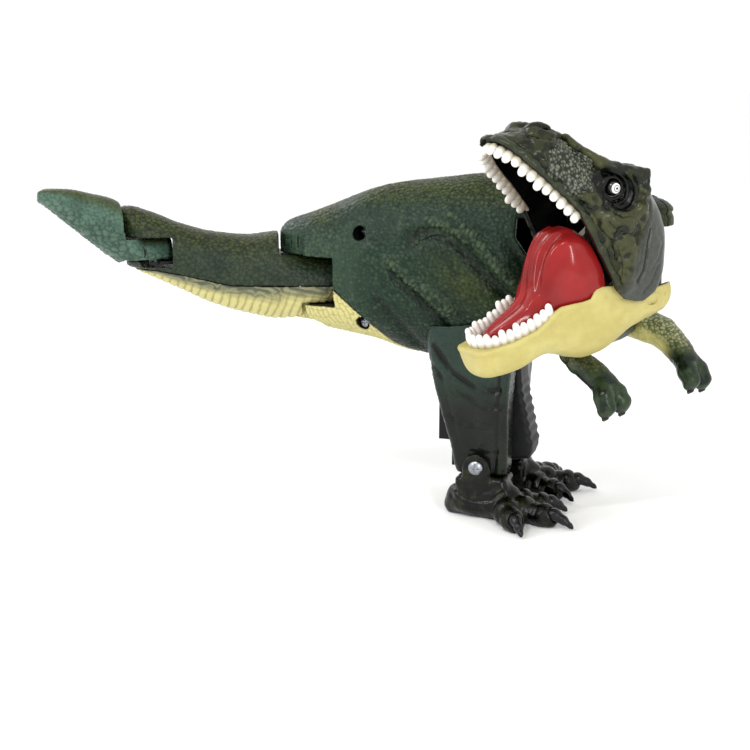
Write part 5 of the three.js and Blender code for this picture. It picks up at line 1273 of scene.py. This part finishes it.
def mid_shell(X, Y, Z):
    plain = mid_plain(X, Y, Z)
    out = plain
    inner = plain + 2.2
    for x0, x1, z0, z1 in ((-21, 16, 106.6, 108.4), (-100, -58, 116.9, 118.5), (-90, -58, 102.3, 103.9)):
        inner = np.maximum(inner, -np.maximum(np.maximum(x0 - X, X - x1), np.maximum(z0 - Z, Z - z1)))
    inner = np.maximum(inner, -np.maximum(np.hypot(X, Y) - 4.8, Z - 103.4))
    d = smax(out, -inner, 0.4)
    deck = 103.9 + 2.6 * sstep(-1.9, -1.4, out) * np.maximum(sstep(2, 4, Y), sstep(-78, -79.5, X))
    d = smax(d, -smax(X + 64.8, smax(deck - Z, Z - 116.9, 0.8), 0.8), 0.5)
    d = smax(d, -cylz(X, Y, Z, 0, 0, 70, 120, 2.3), 0.2)
    d = smax(d, -cylz(X, Y, Z, -75, 0, 100, 125.4, 1.8), 0.2)
    # channel for the link, and the curved slot of the trunk's peg
    a = (5.6 * math.cos(rad(66)), 5.6 * math.sin(rad(66)))
    b = (-75 + 8.4 * math.cos(rad(-74)), 8.4 * math.sin(rad(-74)))
    L = math.hypot(a[0] - b[0], a[1] - b[1])
    cx, sx = (a[0] - b[0]) / L, (a[1] - b[1]) / L
    U, W = (X - b[0]) * cx + (Y - b[1]) * sx, -(X - b[0]) * sx + (Y - b[1]) * cx
    ch = np.maximum(np.maximum(-3.5 - U, U - L), np.abs(W) - 3.0)
    ch = np.minimum(ch, np.hypot(U - L, W) - 4.9)
    d = smax(d, -np.maximum(ch, np.maximum(104.5 - Z, Z - 106.75)), 0.2)
    ang = np.degrees(np.arctan2(Y, X))
    slot = np.maximum(np.abs(np.hypot(X, Y) - 5.6) - 1.5, np.maximum((48 - ang), (ang - 108)) * 0.1)
    d = smax(d, -np.maximum(slot, np.maximum(104 - Z, Z - 112)), 0.2)
    return d


SPLIT = np.array([(-110, 103.8), (-72, 102.3), (-58, 100), (-40, 96), (30, 95)], float)


def mid_detail(P, N, lower):
    X, Y, Z = P.T
    out = mid_plain(X, Y, Z)
    face = sstep(-0.5, -0.1, out)
    s = np.interp(X, SPLIT[:, 0], SPLIT[:, 1])
    top = np.interp(X, MID.q, MID.T)
    bot = np.interp(X, MID.q, MID.B)
    q = fbm(X / 9, Y / 9, Z / 9, 17, 3)
    if not lower:
        p1, i1 = pebbles(X * 0.85, Y, Z * 1.15, 1.8, 13)
        w = fbm(X / 5, Y / 5, Z / 5, 19, 2)
        stria = np.abs(np.sin((X * 0.55 + Z * 0.5 + 5 * w) * math.pi / 2.4))
        h = 0.2 * p1 + 0.1 * sstep(0.2, 0.8, stria)
        v = (Z - s) / np.maximum(top - s, 1)
        col = tint(flat(srgb(50, 60, 50), len(P)), srgb(62, 72, 58), sstep(0.3, 0.7, q))
        # olive top (its real colour), darker in the grooves between scales as painted shade
        oc = tint(flat(OLIVE_D, len(P)), srgb(82, 88, 54), sstep(0.25, 0.8, p1))
        col = tint(col, oc, sstep(0.45, 0.95, v + 0.3 * (q - 0.5)))
        # painted shade in the grooves between scales
        col = tint(col, GROOVE_SHADE, (1 - sstep(0.05, 0.4, p1)) * 0.5)
        # painted highlight on the scale tops
        col = tint(col, srgb(96, 106, 88), sstep(0.6, 0.95, p1) * 0.22)
    else:
        v = (s - Z) / np.maximum(s - bot, 1)
        w = fbm(X / 7, Y / 12, Z / 4, 23, 3)
        wave = np.sin((Z * 1.0 + 2.2 * np.sin(X * 0.16 + 6 * w) + 0.24 * X) * 2 * math.pi / 2.7)
        br = sstep(0.2, 0.55, vnoise(X / 3.1, Y / 3.1, Z / 2.2, 29))
        stri = sstep(-0.5, 0.8, wave) * (0.45 + 0.55 * br)
        ribx = X - 0.35 * Z + 2.0 * (w - 0.5)
        rib = sstep(0.1, 0.6, np.abs(np.sin(ribx * math.pi / 3.6)))
        k = sstep(0.5, 0.78, v)
        h = 0.34 * stri * (1 - k) + 0.62 * rib * k
        gr = tint(flat(srgb(92, 96, 76), len(P)), srgb(150, 150, 116), stri)
        cr = tint(flat(srgb(182, 172, 106), len(P)), CREAM_C, rib)
        col = tint(gr, cr, sstep(0.18, 0.62, v + 0.35 * (w - 0.5) + 0.1 * sstep(-60, 0, X)))
    P2 = P + N * ((h - 0.12) * face)[:, None]
    # painted shade: inside faces and holes of the shell near-black
    col = tint(flat(INSIDE_SHADE, len(P)), col, face)
    return P2, col


def f(X, Y, Z):
    return smax(mid_shell(X, Y, Z), np.interp(X, SPLIT[:, 0], SPLIT[:, 1]) + 0.3 - Z, 0.35)


V, F, N = solve(f, (-90, -20, 94), (16, 20, 132), 0.58)
V, col = mid_detail(V, N, False)
piece("tail_middle_top", V, F, col, M_MID, "tail_middle", "green_shell", SKIN, "tail_mid_upper")


def f(X, Y, Z):
    return smax(mid_shell(X, Y, Z), Z - np.interp(X, SPLIT[:, 0], SPLIT[:, 1]), 0.35)


V, F, N = solve(f, (-90, -20, 78), (16, 20, 105), 0.58)
V, col = mid_detail(V, N, True)
piece("tail_middle_belly", V, F, col, M_MID, "tail_middle", "cream_shell", CREAM, "tail_mid_lower")

# ---------------------------------------------------------------- tail tip
TIP = Loft(
    [
        [9, 116, 104.6, 5],
        [6, 116.2, 104.4, 8],
        [-4, 116.4, 104.3, 10.4],
        [-10, 124, 104.2, 11.2],
        [-14, 132.4, 105.6, 11],
        [-25, 136, 114, 9],
        [-36, 138.3, 123.4, 6.8],
        [-44, 138.6, 130.2, 4.6],
        [-48, 137.4, 133.2, 2.2],
    ],
    2.2,
    1.0,
)


def tip_shape(X, Y, Z):
    d = TIP(X, Y, Z)
    r = np.hypot(X, Y)
    d = smax(d, -np.maximum(r - 13.1, 116.6 - Z), 0.6)
    d = smax(d, np.where(X > -13, Z - 116.5, -9), 0.5)
    d = smax(d, np.where(X > -5, r - 10.6, -9), 0.5)
    d = smax(d, -cylz(X, Y, Z, 0, 0, 100, 120, 1.8), 0.2)
    d = smax(d, -cylz(X, Y, Z, 0, 0, 103, 107, 14), 0.4)
    d = smin(d, cylz(X, Y, Z, 0, -8.4, 104.5, 108, 1.0), 0.1)
    return d


V, F, N = solve(tip_shape, (-52, -13, 103), (11, 13, 140), 0.5)
X, Y, Z = V.T
t, b = np.interp(X, TIP.q, TIP.T), np.interp(X, TIP.q, TIP.B)
v = (t - Z) / np.maximum(t - b, 1)
face = sstep(-0.9, -0.3, TIP(X, Y, Z))
q = fbm(X / 8, Y / 8, Z / 8, 27, 3)
p1, i1 = pebbles(X, Y, Z, 1.7, 15)
p2, i2 = pebbles(X * 0.8, Y, Z * 1.1, 2.5, 25, 0.3)
k = sstep(0.42, 0.62, v)
edge_scale = sstep(0.8, 0.95, v)
h = 0.12 * p1 * (1 - k) + 0.45 * p2 * k * sstep(0.35, 0.6, i2 + 0.2)
V2 = V + N * ((h - 0.1) * face)[:, None]
col = tint(flat(srgb(94, 116, 104), len(V)), srgb(114, 138, 124), sstep(0.3, 0.7, q))
col = tint(col, srgb(88, 92, 58), sstep(0.3, 0.05, v) * 0.8)
# painted shade in the grooves between scales
col = tint(col, GROOVE_SHADE, (1 - sstep(0.05, 0.4, np.where(k > 0.5, p2, p1))) * 0.45)
# painted highlight on the tops of the big lower scales
col = tint(col, srgb(132, 148, 134), sstep(0.55, 0.95, p2) * k * 0.45)
# painted shade: inside faces and holes of the shell near-black
col = tint(flat(INSIDE_SHADE, len(V)), col, face)
piece("tail_tip_skin", V2, F, col, M_TIP, "tail_end", "green_shell", SKIN, "tail_tip")

# ---------------------------------------------------------------- legs
LEG = np.array(
    [
        [18.5, -10, 12, 12.4, 23],
        [22, -11, 12.5, 12.4, 23.5],
        [32, -13, 12.5, 12.4, 24],
        [44, -16.5, 12.5, 12.4, 25],
        [56, -19.5, 13, 12.4, 25.8],
        [65.2, -21.5, 13.5, 12.8, 26.6],
        [86, -26, 14.5, 12.8, 28.5],
    ],
    float,
)


def leg_box(X, Y, Z, inset=0.0):
    g = lambda k: np.interp(Z, LEG[:, 0], LEG[:, k])
    x0, x1, y0, y1 = g(1) + inset, g(2) - inset, g(3) + 0 * Z - (3 if inset else 0), g(4) - inset - 1.6 * sstep(66, 84, Z)
    r = 3.0 + 3.6 * sstep(56, 78, Z)
    qx = np.abs(X - (x0 + x1) / 2) - (x1 - x0) / 2 + r
    yy0 = y0 - 2 * r
    qy = np.abs(Y - (yy0 + y1) / 2) - (y1 - yy0) / 2 + r
    d = np.hypot(np.maximum(qx, 0), np.maximum(qy, 0)) + np.minimum(np.maximum(qx, qy), 0) - r
    return smax(d, y0 - Y, 0.4)


for s, word in ((1, "left"), (-1, "right")):

    def f(X, Y, Z, s=s):
        Y = Y * s
        d = leg_box(X, Y, Z)
        near = np.abs(d) < 3
        d = d.copy()
        x, y, z = X[near], Y[near], Z[near]
        out = sstep(15, 19, y)
        add = 0.0
        for pts, a, w in (
            ([(9.5, 66), (8.6, 50), (8.2, 34), (7.0, 19)], -0.75, 0.9),
            ([(-14, 64), (-10, 50), (-6.5, 36), (-5.5, 30)], 0.5, 2.2),
            ([(-17, 62), (-12.5, 48), (-9.5, 36)], -0.45, 1.0),
            ([(-8, 31), (0, 27.5), (9, 28.5)], -0.35, 1.1),
            ([(-19, 74), (-11, 63), (-1, 57), (9, 56)], -0.9, 1.6),
            ([(-20, 66), (-10, 55), (2, 49.5), (10, 49)], -0.6, 1.4),
            ([(-4, 70), (1, 60), (3, 46), (2.5, 34)], 0.8, 2.8),
            ([(-14, 44), (-6, 40.5), (5, 40)], -0.5, 1.1),
        ):
            r, _ = line2(x, z, pts)
            add = add + a * np.exp(-((r / w) ** 2))
        d[near] -= add * out + 0.3 * (fbm(x / 7, y / 7, z / 7, 33, 2) - 0.5)
        d = smax(d, 18.6 - Z, 0.7)
        d = smax(d, Z - 85.5, 2.5)
        d = smax(d, -(TRUNK(X, Y, Z, 0.35)), 0.5)
        inn = smax(leg_box(X, Y, Z, 2.2), 27.5 - Z, 0.5)
        d = smax(d, -inn, 0.4)
        return smax(d, -cyly(X, Y, Z, 0, 22.5, 10, 26, 1.8), 0.3)

    lo, hi = (-27, 12, 18), (15.5, 30, 88)
    if s < 0:
        lo, hi = (-27, -30, 18), (15.5, -12, 88)
    V, F, N = solve(f, lo, hi, 0.6)
    X, Y, Z = V.T
    face = sstep(-0.7, -0.2, leg_box(X, Y * s, Z))
    p1, i1 = pebbles(X, Y, Z, 1.9, 43)
    up = sstep(46, 66, Z)
    q = fbm(X / 9, Y / 9, Z / 14, 44, 3)
    V2 = V + N * (((0.12 + 0.1 * up) * p1 - 0.08) * face)[:, None]
    col = tint(flat(srgb(22, 26, 21), len(V)), srgb(34, 40, 31), sstep(0.3, 0.7, q))
    col = tint(col, srgb(52, 72, 62), up * 0.85)
    # painted shade: inside faces and holes of the shell near-black
    col = tint(flat(INSIDE_SHADE, len(V)), col, face)
    piece(f"leg_skin_{word}", V2, F, col, M_ROOT, "body", "dark_green_shell", DARK, f"leg_shell_{word}")

# ---------------------------------------------------------------- feet and claws
TOES = [(0.5, 0.86, 31, 9, 21), (0.96, 0.28, 35, 9, 21), (0.93, -0.36, 29, 9, 18)]
for s, word in ((1, "left"), (-1, "right")):

    def foot(X, Y, Z, s=s):
        Y = Y * s
        d = box(X, Y, Z, -9.5, 13, 10, 27.2, 3, 18.2, 2.6)
        d = smin(d, limb(X, Y, Z, [(-11.5, 19, 3.0, 4.2), (-8, 19, 6, 6.8), (-2, 20, 7.6, 8.4), (8, 21, 7.6, 8.8), (13, 21.5, 6.6, 7.4)], 2), 2.4)
        ear = np.maximum(cyly(X, Y, Z, 0, 22.5, 24.2, 27.5, 5.6), -99)
        ear = smin(ear, box(X, Y, Z, -6, 6, 24.2, 27.5, 10, 22.5, 1.0), 1.0)
        d = smin(d, ear, 1.2)
        for dx, dy, L, x0, y0 in TOES:
            P = lambda k, z, r: (x0 + dx * L * k, y0 + dy * L * k, z, r)
            toe = limb(X, Y, Z, [(x0 - 3, y0, 6, 4.6), P(0.22, 5.6, 4.6), P(0.36, 5.2, 5.6), P(0.5, 4.2, 4.4), P(0.62, 4.2, 5.0), P(0.69, 3.6, 4.0)], 1.4)
            d = smin(d, toe, 1.8)
        near = np.abs(d) < 2.5
        d = d.copy()
        x, y, z = X[near], Y[near], Z[near]
        add = 0.0
        for dx, dy, L, x0, y0 in TOES:
            for k, a in ((0.47, -0.5), (0.27, -0.35), (0.56, -0.25)):
                cx, cy = x0 + dx * L * k, y0 + dy * L * k
                u = (x - cx) * dx + (y - cy) * dy
                v = -(x - cx) * dy + (y - cy) * dx
                add = add + a * np.exp(-((u / 0.7) ** 2)) * sstep(6.5, 4, np.abs(v))
        r, _ = line2(x, z, [(-10, 13), (-6.4, 9.6), (0, 8.0), (7, 9.4), (12, 12.6)])
        add = add - 0.8 * np.exp(-((r / 0.9) ** 2)) * sstep(18, 22, y)
        r, _ = line2(x, z, [(-11, 8.5), (-5, 5.6), (3, 5.4)])
        add = add - 0.45 * np.exp(-((r / 0.9) ** 2)) * sstep(17, 21, y)
        w = fbm(x / 3.4, y / 3.4, z / 3.4, 47, 3)
        add = add + 0.7 * (w - 0.5)
        d[near] -= add
        d = smax(d, -box(X, Y, Z, -30, 40, -20, 24.1, 18.2, 80), 0.4)
        d = smax(d, -cyly(X, Y, Z, 0, 22.5, 20, 30, 2.0), 0.3)
        return smax(d, -Z, 0.5)

    def claws(X, Y, Z, s=s):
        Y = Y * s
        d = np.full(X.shape, 99.0)
        for dx, dy, L, x0, y0 in TOES:
            P = lambda k, z, r: (x0 + dx * L * k, y0 + dy * L * k, z, r)
            d = np.minimum(d, limb(X, Y, Z, [P(0.62, 5.4, 2.7), P(0.76, 5.4, 2.7), P(0.88, 3.8, 1.9), P(0.97, 1.9, 1.0), P(1.0, 1.1, 0.55)], 1.0))
        return smax(d, -Z, 0.4)

    lo, hi = (-17, 8, -0.5), (45, 50, 24)
    if s < 0:
        lo, hi = (-17, -50, -0.5), (45, -8, 24)
    g = lambda X, Y, Z: smax(foot(X, Y, Z), -(claws(X, Y, Z) - 0.12), 0.3)
    V, F, N = solve(g, lo, hi, 0.52)
    X, Y, Z = V.T
    p1, i1 = pebbles(X, Y, Z, 1.6, 45)
    w = fbm(X / 3.4, Y / 3.4, Z / 3.4, 47, 3)
    V2 = V + N * (0.09 * (p1 - 0.5) * sstep(0.3, 0.7, np.abs(Z)))[:, None]
    col = tint(flat(srgb(2, 3, 0), len(V)), srgb(24, 26, 12), sstep(0.42, 0.68, w))
    col = tint(col, srgb(64, 66, 44), sstep(0.62, 0.8, w) * 0.5)
    piece(f"foot_skin_{word}", V2, F, col, M_ROOT, "body", "dark_green_shell", DARK, f"foot_{word}")
    V, F, N = solve(claws, lo, hi, 0.42, keep=3)
    piece(f"foot_claws_{word}", V, F, None, M_ROOT, "body", "black_part", CLAW, f"foot_{word}")

    # ankle screw: pan head with a cross recess, its shank in the foot
    def f(X, Y, Z, s=s):
        Y = Y * s
        d = smax(cyly(X, Y, Z, 0, 22.5, 27.8, 29.4, 3.2), ell(X, Y, Z, (0, 26.4, 22.5), (3.9, 3.0, 3.9)), 0.3)
        d = smin(d, cyly(X, Y, Z, 0, 22.5, 14, 28, 1.4), 0.2)
        cr = np.minimum(box(X, Y, Z, -1.9, 1.9, 28.5, 31, 22.15, 22.85), box(X, Y, Z, -0.35, 0.35, 28.5, 31, 20.6, 24.4))
        return smax(d, -cr, 0.12)

    lo, hi = (-3.6, 13, 19), (3.6, 30, 26)
    if s < 0:
        lo, hi = (-3.6, -30, 19), (3.6, -13, 26)
    V, F, N = solve(f, lo, hi, 0.16, snap=1, soft=0)
    piece(f"ankle_screw_head_{word}", V, F, None, M_ROOT, "body", "steel", STEEL, f"ankle_screw_{word}")

for word, x, z in (("upper", -53, 120.3), ("lower", -53.2, 80.8)):

    def f(X, Y, Z):
        d = smax(cyly(X, Y, Z, x, z, -16.7, -14.3, 2.75), ell(X, Y, Z, (x, -13.4, z), (3.4, 3.3, 3.4)), 0.2)
        d = smin(d, cyly(X, Y, Z, x, z, -16.0, 5.9, 1.4), 0.2)
        cr = np.minimum(box(X, Y, Z, x - 1.6, x + 1.6, -18, -15.8, z - 0.3, z + 0.3), box(X, Y, Z, x - 0.3, x + 0.3, -18, -15.8, z - 1.6, z + 1.6))
        return smax(d, -cr, 0.12)

    V, F, N = solve(f, (x - 3.2, -17.4, z - 3.2), (x + 3.2, 6.4, z + 3.2), 0.18, snap=1, soft=0)
    piece(f"case_screw_{word}", V, F, None, M_ROOT, "body", "steel", STEEL, f"trunk_screw_{word}")


# ---------------------------------------------------------------- trigger lever
LEVER = [(1, 78), (1, 72), (3, 60), (5, 44), (7, 24), (10, 21.5), (19, 23), (20.5, 28), (18.2, 40), (15.5, 52), (14.5, 62), (13, 70), (11.5, 77), (9, 82), (3, 82)]
HOLLOW = [(-3, 85), (-3, 26), (8.5, 25), (16.5, 26), (18, 29), (15.8, 40), (13, 52), (11.5, 62), (7, 68), (7, 85)]


def f(X, Y, Z):
    y = np.abs(Y)
    p = poly(X, Z, LEVER)
    grip = 0.35 * np.cos((Z - 30) * 2 * math.pi / 4.2) * sstep(12, 15, X) * sstep(24, 29, Z) * sstep(60, 52, Z)
    d = smax(p - grip, y - 8.6, 2.2)
    d = smax(d, -smax(poly(X, Z, HOLLOW), y - 6.2, 0.6), 0.4)
    d = smax(d, -box(X, Y, Z, -4, 18, -6.2, 6.2, 69, 87), 0.3)
    return smax(d, -cyly(X, Y, Z, 6, 77, -14, 14, 2.3), 0.3)


V, F, N = solve(f, (0, -9, 20), (22, 9, 83), 0.5)
piece("trigger_skin", V, F, None, M_ROOT, "trigger", "black_part", BLACK, "trigger_lever")

# ---------------------------------------------------------------- neck section (local x from the shaft)
NECK_ARM = Loft([[0, 127.9, 112.8, 9.6], [14.9, 127.9, 112.8, 9.6], [15.2, 135.5, 112.8, 9.6], [24, 138.6, 113, 9.6], [36, 139, 113.2, 9.6]], 2.9, 0.5)


def neck_outer(X, Y, Z):
    d = cylz(X, Y, Z, 0, 0, 101.1, 127.9, 14.5)
    d = smax(d, np.hypot(X, Y) * 0.7 + np.abs(Z - 114.5) * 0.7 - 19.1, 1.0)
    d = smin(d, NECK_ARM(X, Y, Z), 1.0)
    d = smin(d, smax(cylz(X, Y, Z, 36, 0, 120, 138.2, 10.1), ell(X, Y, Z, (36, 0, 128), (12, 12, 10.6)), 1.0), 1.0)
    d = d + 0.9 * np.exp(-(((Z - 132.2) / 0.9) ** 2)) * (X > 26)
    room = cylz(X, Y, Z, 36, 0, 90, 127.2, 11.2)
    room = np.minimum(room, np.maximum(cylz(X, Y, Z, 36, 0, 90, 127.2, 15.2), Y + 3.4))
    room = np.minimum(room, box(X, Y, Z, 36, 60, -30, 30, 90, 127.2))
    return smax(d, -room, 0.5)


for s, word in ((1, "left"), (-1, "right")):

    def f(X, Y, Z, s=s):
        out = neck_outer(X, Y, Z)
        d = smax(out, -(out + 1.45), 0.3)
        ro = np.hypot(X, Y)
        d = np.minimum(d, np.maximum(np.maximum(ro - 5.4, 3.0 - ro), np.maximum(102.9 - Z, Z - 112)))
        boss = np.maximum(np.hypot(X - 36, Y) - 2.9, 133 - Z)
        d = np.minimum(d, np.maximum(boss, out))
        d = smax(d, -cylz(X, Y, Z, 36, 0, 130, 136.4, 1.3), 0.2)
        d = smax(d, -cylz(X, Y, Z, 0, 0, 90, 110, 3.3), 0.2)
        d = smax(d, -cylz(X, Y, Z, 0, 0, 120, 130, 6.6), 0.2)
        d = smax(d, -cylz(X, Y, Z, 36, 0, 120, 130, 2.4), 0.2)
        return smax(d, 0.15 - s * Y, 0.25)

    V, F, N = solve(f, (-15, 0 if s > 0 else -15, 100), (47, 15 if s > 0 else 0, 140), 0.55)
    X, Y, Z = V.T
    face = sstep(-0.6, -0.15, neck_outer(X, Y, Z)) * sstep(0.1, 0.5, np.abs(Y))
    p1, i1 = pebbles(X, Y, Z, 1.7, 53)
    q = fbm(X / 7, Y / 7, Z / 7, 54, 3)
    V2 = V + N * ((0.2 * p1 - 0.1 + 0.25 * (q - 0.5)) * face)[:, None]
    col = tint(flat(srgb(44, 50, 36), len(V)), srgb(66, 70, 44), sstep(0.3, 0.7, q))
    # painted shade in the grooves between scales
    col = tint(col, GROOVE_SHADE, (1 - sstep(0.05, 0.4, p1)) * 0.5)
    # painted shade: inside faces and holes of the shell near-black
    col = tint(flat(INSIDE_SHADE, len(V)), col, face)
    piece(f"neck_skin_{word}", V2, F, col, M_NECK, "neck", "olive_shell", SKIN, f"neck_shell_{word}")

# ---------------------------------------------------------------- chest and arms
CHEST = Loft([[-17.5, 84.5, 75, 9], [-14, 85.8, 72.5, 15], [-4, 86.6, 71, 19], [6, 86.8, 72, 20], [13, 86.7, 74.5, 19.4], [18.5, 86.2, 78, 16.5], [22, 84.8, 81, 10]], 2.3, 2.0)


def chest(X, Y, Z):
    out = CHEST(X, Y, Z)
    near = np.abs(out) < 3
    out = out.copy()
    x, y, z = X[near], Y[near], Z[near]
    w = fbm(x / 8, y / 8, z / 8, 63, 2)
    rib = np.abs(np.sin((x + 2.2 * (w - 0.5)) * math.pi / 4.4))
    out[near] -= 0.5 * (sstep(0.1, 0.6, rib) - 0.8) * sstep(80, 75, z) + 0.3 * (w - 0.5)
    d = smax(out, -(CHEST(X, Y, Z) + 2.3), 0.4)
    d = np.minimum(d, np.maximum(np.maximum(np.hypot(X, Y) - 6, 78 - Z), CHEST(X, Y, Z)))
    d = smax(d, -cylz(X, Y, Z, 0, 0, 82.6, 90, 2.7), 0.2)
    d = smax(d, -cylz(X, Y, Z, 0, 0, 77, 82.8, 4.9), 0.2)
    d = smax(d, -cylz(X, Y, Z, 0, 0, 60, 74, 3), 0.4)
    return smax(d, -cyly(X, np.abs(Y), Z, 10, 80, 12, 30, 3.2), 0.3)


V, F, N = solve(chest, (-19, -21.5, 69.5), (24, 21.5, 88), 0.5)
X, Y, Z = V.T
face = sstep(-1.2, -0.6, CHEST(X, Y, Z))
p1, i1 = pebbles(X, Y, Z, 1.9, 65)
q = fbm(X / 8, Y / 8, Z / 8, 63, 2)
up = sstep(73, 78, Z + 5 * (q - 0.5))
V2 = V + N * ((0.16 * p1 * up) * face)[:, None]
col = tint(flat(CREAM_D, len(V)), CREAM_C, sstep(0.3, 0.7, q) * 0.6 + 0.4)
gc = tint(flat(srgb(40, 48, 34), len(V)), srgb(70, 76, 48), sstep(0.3, 0.9, p1))
col = tint(col, gc, up)
# painted shade: inside faces of the chest shell dark
col = tint(flat(srgb(40, 40, 28), len(V)), col, face)
piece("chest_skin", V2, F, col, M_NECK, "neck", "cream_shell", CREAM, "chest_shell")

for s, word in ((1, "left"), (-1, "right")):

    # the right arm, under the head when it is turned back, is lower than the left one
    dz = 3.8 if s > 0 else 0.0
    UPPER = (
        [(12, 20.6, 80.4, 4.4), (19.5, 23.3, 81, 6.4), (26, 24.6, 79.3, 6.1), (31.5, 24.7, 76, 5.4), (36, 24.5, 72.6, 5.0), (39.6, 24.4, 69, 5.0)]
        if s > 0
        else [(12, 20.6, 78.2, 3.9), (18, 22.8, 74.8, 4.5), (23.5, 24.2, 72.2, 4.6), (29, 24.6, 70.2, 4.6), (33.6, 24.5, 68, 4.7), (37, 24.4, 64.6, 4.9)]
    )

    def arm(X, Y, Z, s=s, dz=dz, UPPER=UPPER):
        Y = Y * s
        d = limb(X, Y, Z, UPPER, 2.5)
        root, X = X, X + (0 if s > 0 else 2.6)
        d = smin(d, limb(X, Y, Z, [(40, 22.2, 65.5 + dz, 3.8), (43, 21, 61.8 + dz, 4.2), (45.4, 20.4, 58.6 + dz, 3.8), (45, 20.2, 56.4 + dz, 2.6)], 1.2), 1.6)
        d = smin(d, limb(X, Y, Z, [(40, 26.4, 65.5 + dz, 3.8), (43, 28, 61.3 + dz, 4.2), (44.8, 28.7, 57.8 + dz, 3.8), (44.2, 28.9, 55.6 + dz, 2.6)], 1.2), 0.7)
        X = root
        d = smin(d, cyly(X, Y, Z, 10, 80, 14.5, 21.0, 2.9), 0.5)
        near = np.abs(d) < 2.5
        d = d.copy()
        x, y, z = X[near], Y[near], Z[near]
        w = fbm(x / 3.6, y / 3.6, z / 3.6, 67, 3)
        d[near] -= 0.6 * (w - 0.5)
        body = -np.maximum(CHEST(X, Y, Z, 0.15), 3.1 - np.hypot(X - 10, Z - 80))
        return smax(d, body, 0.3)

    def claws(X, Y, Z, s=s, dz=dz):
        Y = Y * s
        X = X + (0 if s > 0 else 2.6)
        d = limb(X, Y, Z, [(45.2, 20.2, 57.0 + dz, 1.9), (45.6, 20.2, 54.6 + dz, 1.5), (44.8, 20.2, 53.2 + dz, 0.8)], 0.6)
        return np.minimum(d, limb(X, Y, Z, [(44.4, 29.0, 56.2 + dz, 1.9), (44.8, 29.1, 53.8 + dz, 1.5), (44.0, 29.0, 52.4 + dz, 0.8)], 0.6))

    lo, hi = (6, 13, 50), (51, 34, 89)
    if s < 0:
        lo, hi = (6, -34, 50), (51, -13, 85)
    V, F, N = solve(arm, lo, hi, 0.45)
    X, Y, Z = V.T
    p1, i1 = pebbles(X, Y, Z, 1.5, 55)
    w = fbm(X / 3.6, Y / 3.6, Z / 3.6, 67, 3)
    up = sstep(68, 76, Z - dz)
    V2 = V + N * ((0.06 + 0.16 * up) * (p1 - 0.4))[:, None]
    col = tint(flat(srgb(26, 38, 28), len(V)), srgb(60, 76, 54), sstep(0.35, 0.65, w))
    col = tint(col, tint(flat(srgb(116, 124, 90), len(V)), srgb(220, 222, 176), sstep(0.3, 0.9, p1)), up * (0.9 if s > 0 else 0.3))
    if s > 0:
        col = tint(col, srgb(250, 244, 176), sstep(0.5, -0.2, N[:, 2] + 0.35 * N[:, 0]) * sstep(66, 74, Z) * sstep(38, 30, X) * 0.95)
    piece(f"arm_skin_{word}", V2, F, col, M_NECK, "neck", "dark_green_shell", DARK, f"arm_{word}")
    V, F, N = solve(claws, lo, hi, 0.34, keep=2)
    piece(f"arm_claws_{word}", V, F, None, M_NECK, "neck", "black_part", CLAW, f"arm_{word}")

# ---------------------------------------------------------------- nodes kept from the frame
for names, mat in (
    (("drive_bar", "trigger_sector", "neck_sun_gear", "neck_gear", "neck_rack", "yoke_pinion", "jaw_rack", "skull_sector", "jaw_sector", "tail_gear"), NYLON),
    (("trigger_pin", "trigger_spring", "tail_pin", "neck_shaft", "head_pin", "skull_pin", "jaw_pin", "tail_tip_pin"), STEEL),
    (("grip_core", "drive_guide", "head_yoke", "tail_link"), BLACK),
):
    for n in names:
        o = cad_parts[n]
        for sl in o.material_slots:
            sl.material = mat

# ---------------------------------------------------------------- floor, world and lights
bpy.ops.mesh.primitive_plane_add(size=80, location=(0, 0, -0.0002))
floor = bpy.context.object
floor.name = "floor"
m, t, b = nodes_of("floor_white")
tc = t.nodes.new("ShaderNodeTexCoord")
nz = t.nodes.new("ShaderNodeTexNoise")
nz.inputs["Scale"].default_value = 3
t.links.new(tc.outputs["Object"], nz.inputs["Vector"])
cr = t.nodes.new("ShaderNodeValToRGB")
cr.color_ramp.elements[0].color = (0.95, 0.95, 0.95, 1)
cr.color_ramp.elements[1].color = (0.98, 0.98, 0.98, 1)
t.links.new(nz.outputs["Fac"], cr.inputs["Fac"])
t.links.new(cr.outputs["Color"], b.inputs["Base Color"])
b.inputs["Roughness"].default_value = 0.9
b.inputs["Specular IOR Level"].default_value = 0.1
floor.data.materials.append(m)
floor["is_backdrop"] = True

world = bpy.data.worlds.new("studio")
bpy.context.scene.world = world
world.use_nodes = True
world.node_tree.nodes["Background"].inputs["Color"].default_value = (1, 1, 1, 1)
world.node_tree.nodes["Background"].inputs["Strength"].default_value = 1.04


def area(name, at, look, size, power, size_y=None):
    d = bpy.data.lights.new(name, "AREA")
    d.energy = power
    d.size = size
    if size_y:
        d.shape = "RECTANGLE"
        d.size_y = size_y
    o = bpy.data.objects.new(name, d)
    bpy.context.scene.collection.objects.link(o)
    o.location = at
    o.rotation_mode = "QUATERNION"
    o.rotation_quaternion = (Vector(at) - Vector(look)).to_track_quat("Z", "Y")
    return o


area("key", (-0.25, -0.75, 1.05), (0, -0.03, 0.1), 0.22, 3.6)
area("strip", (0.6, -0.9, 0.45), (0.03, -0.04, 0.1), 0.05, 3.6, 0.5)
area("strip_left", (-0.85, -0.75, 0.75), (-0.05, -0.02, 0.1), 0.06, 4.0, 0.5)
area("back", (-0.9, 0.7, 0.8), (0, 0, 0.1), 0.4, 1.5)

sc = bpy.context.scene
sc.view_settings.view_transform = "Standard"
sc.view_settings.look = "None"
sc.view_settings.exposure = 0.0
sc.view_settings.gamma = 1.0

print("faces", sum(FACES.values()), {k: v for k, v in sorted(FACES.items(), key=lambda a: -a[1])[:8]})
lo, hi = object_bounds()
{"cad": [list(cad_lo), list(cad_hi)], "visual": [list(lo), list(hi)]}
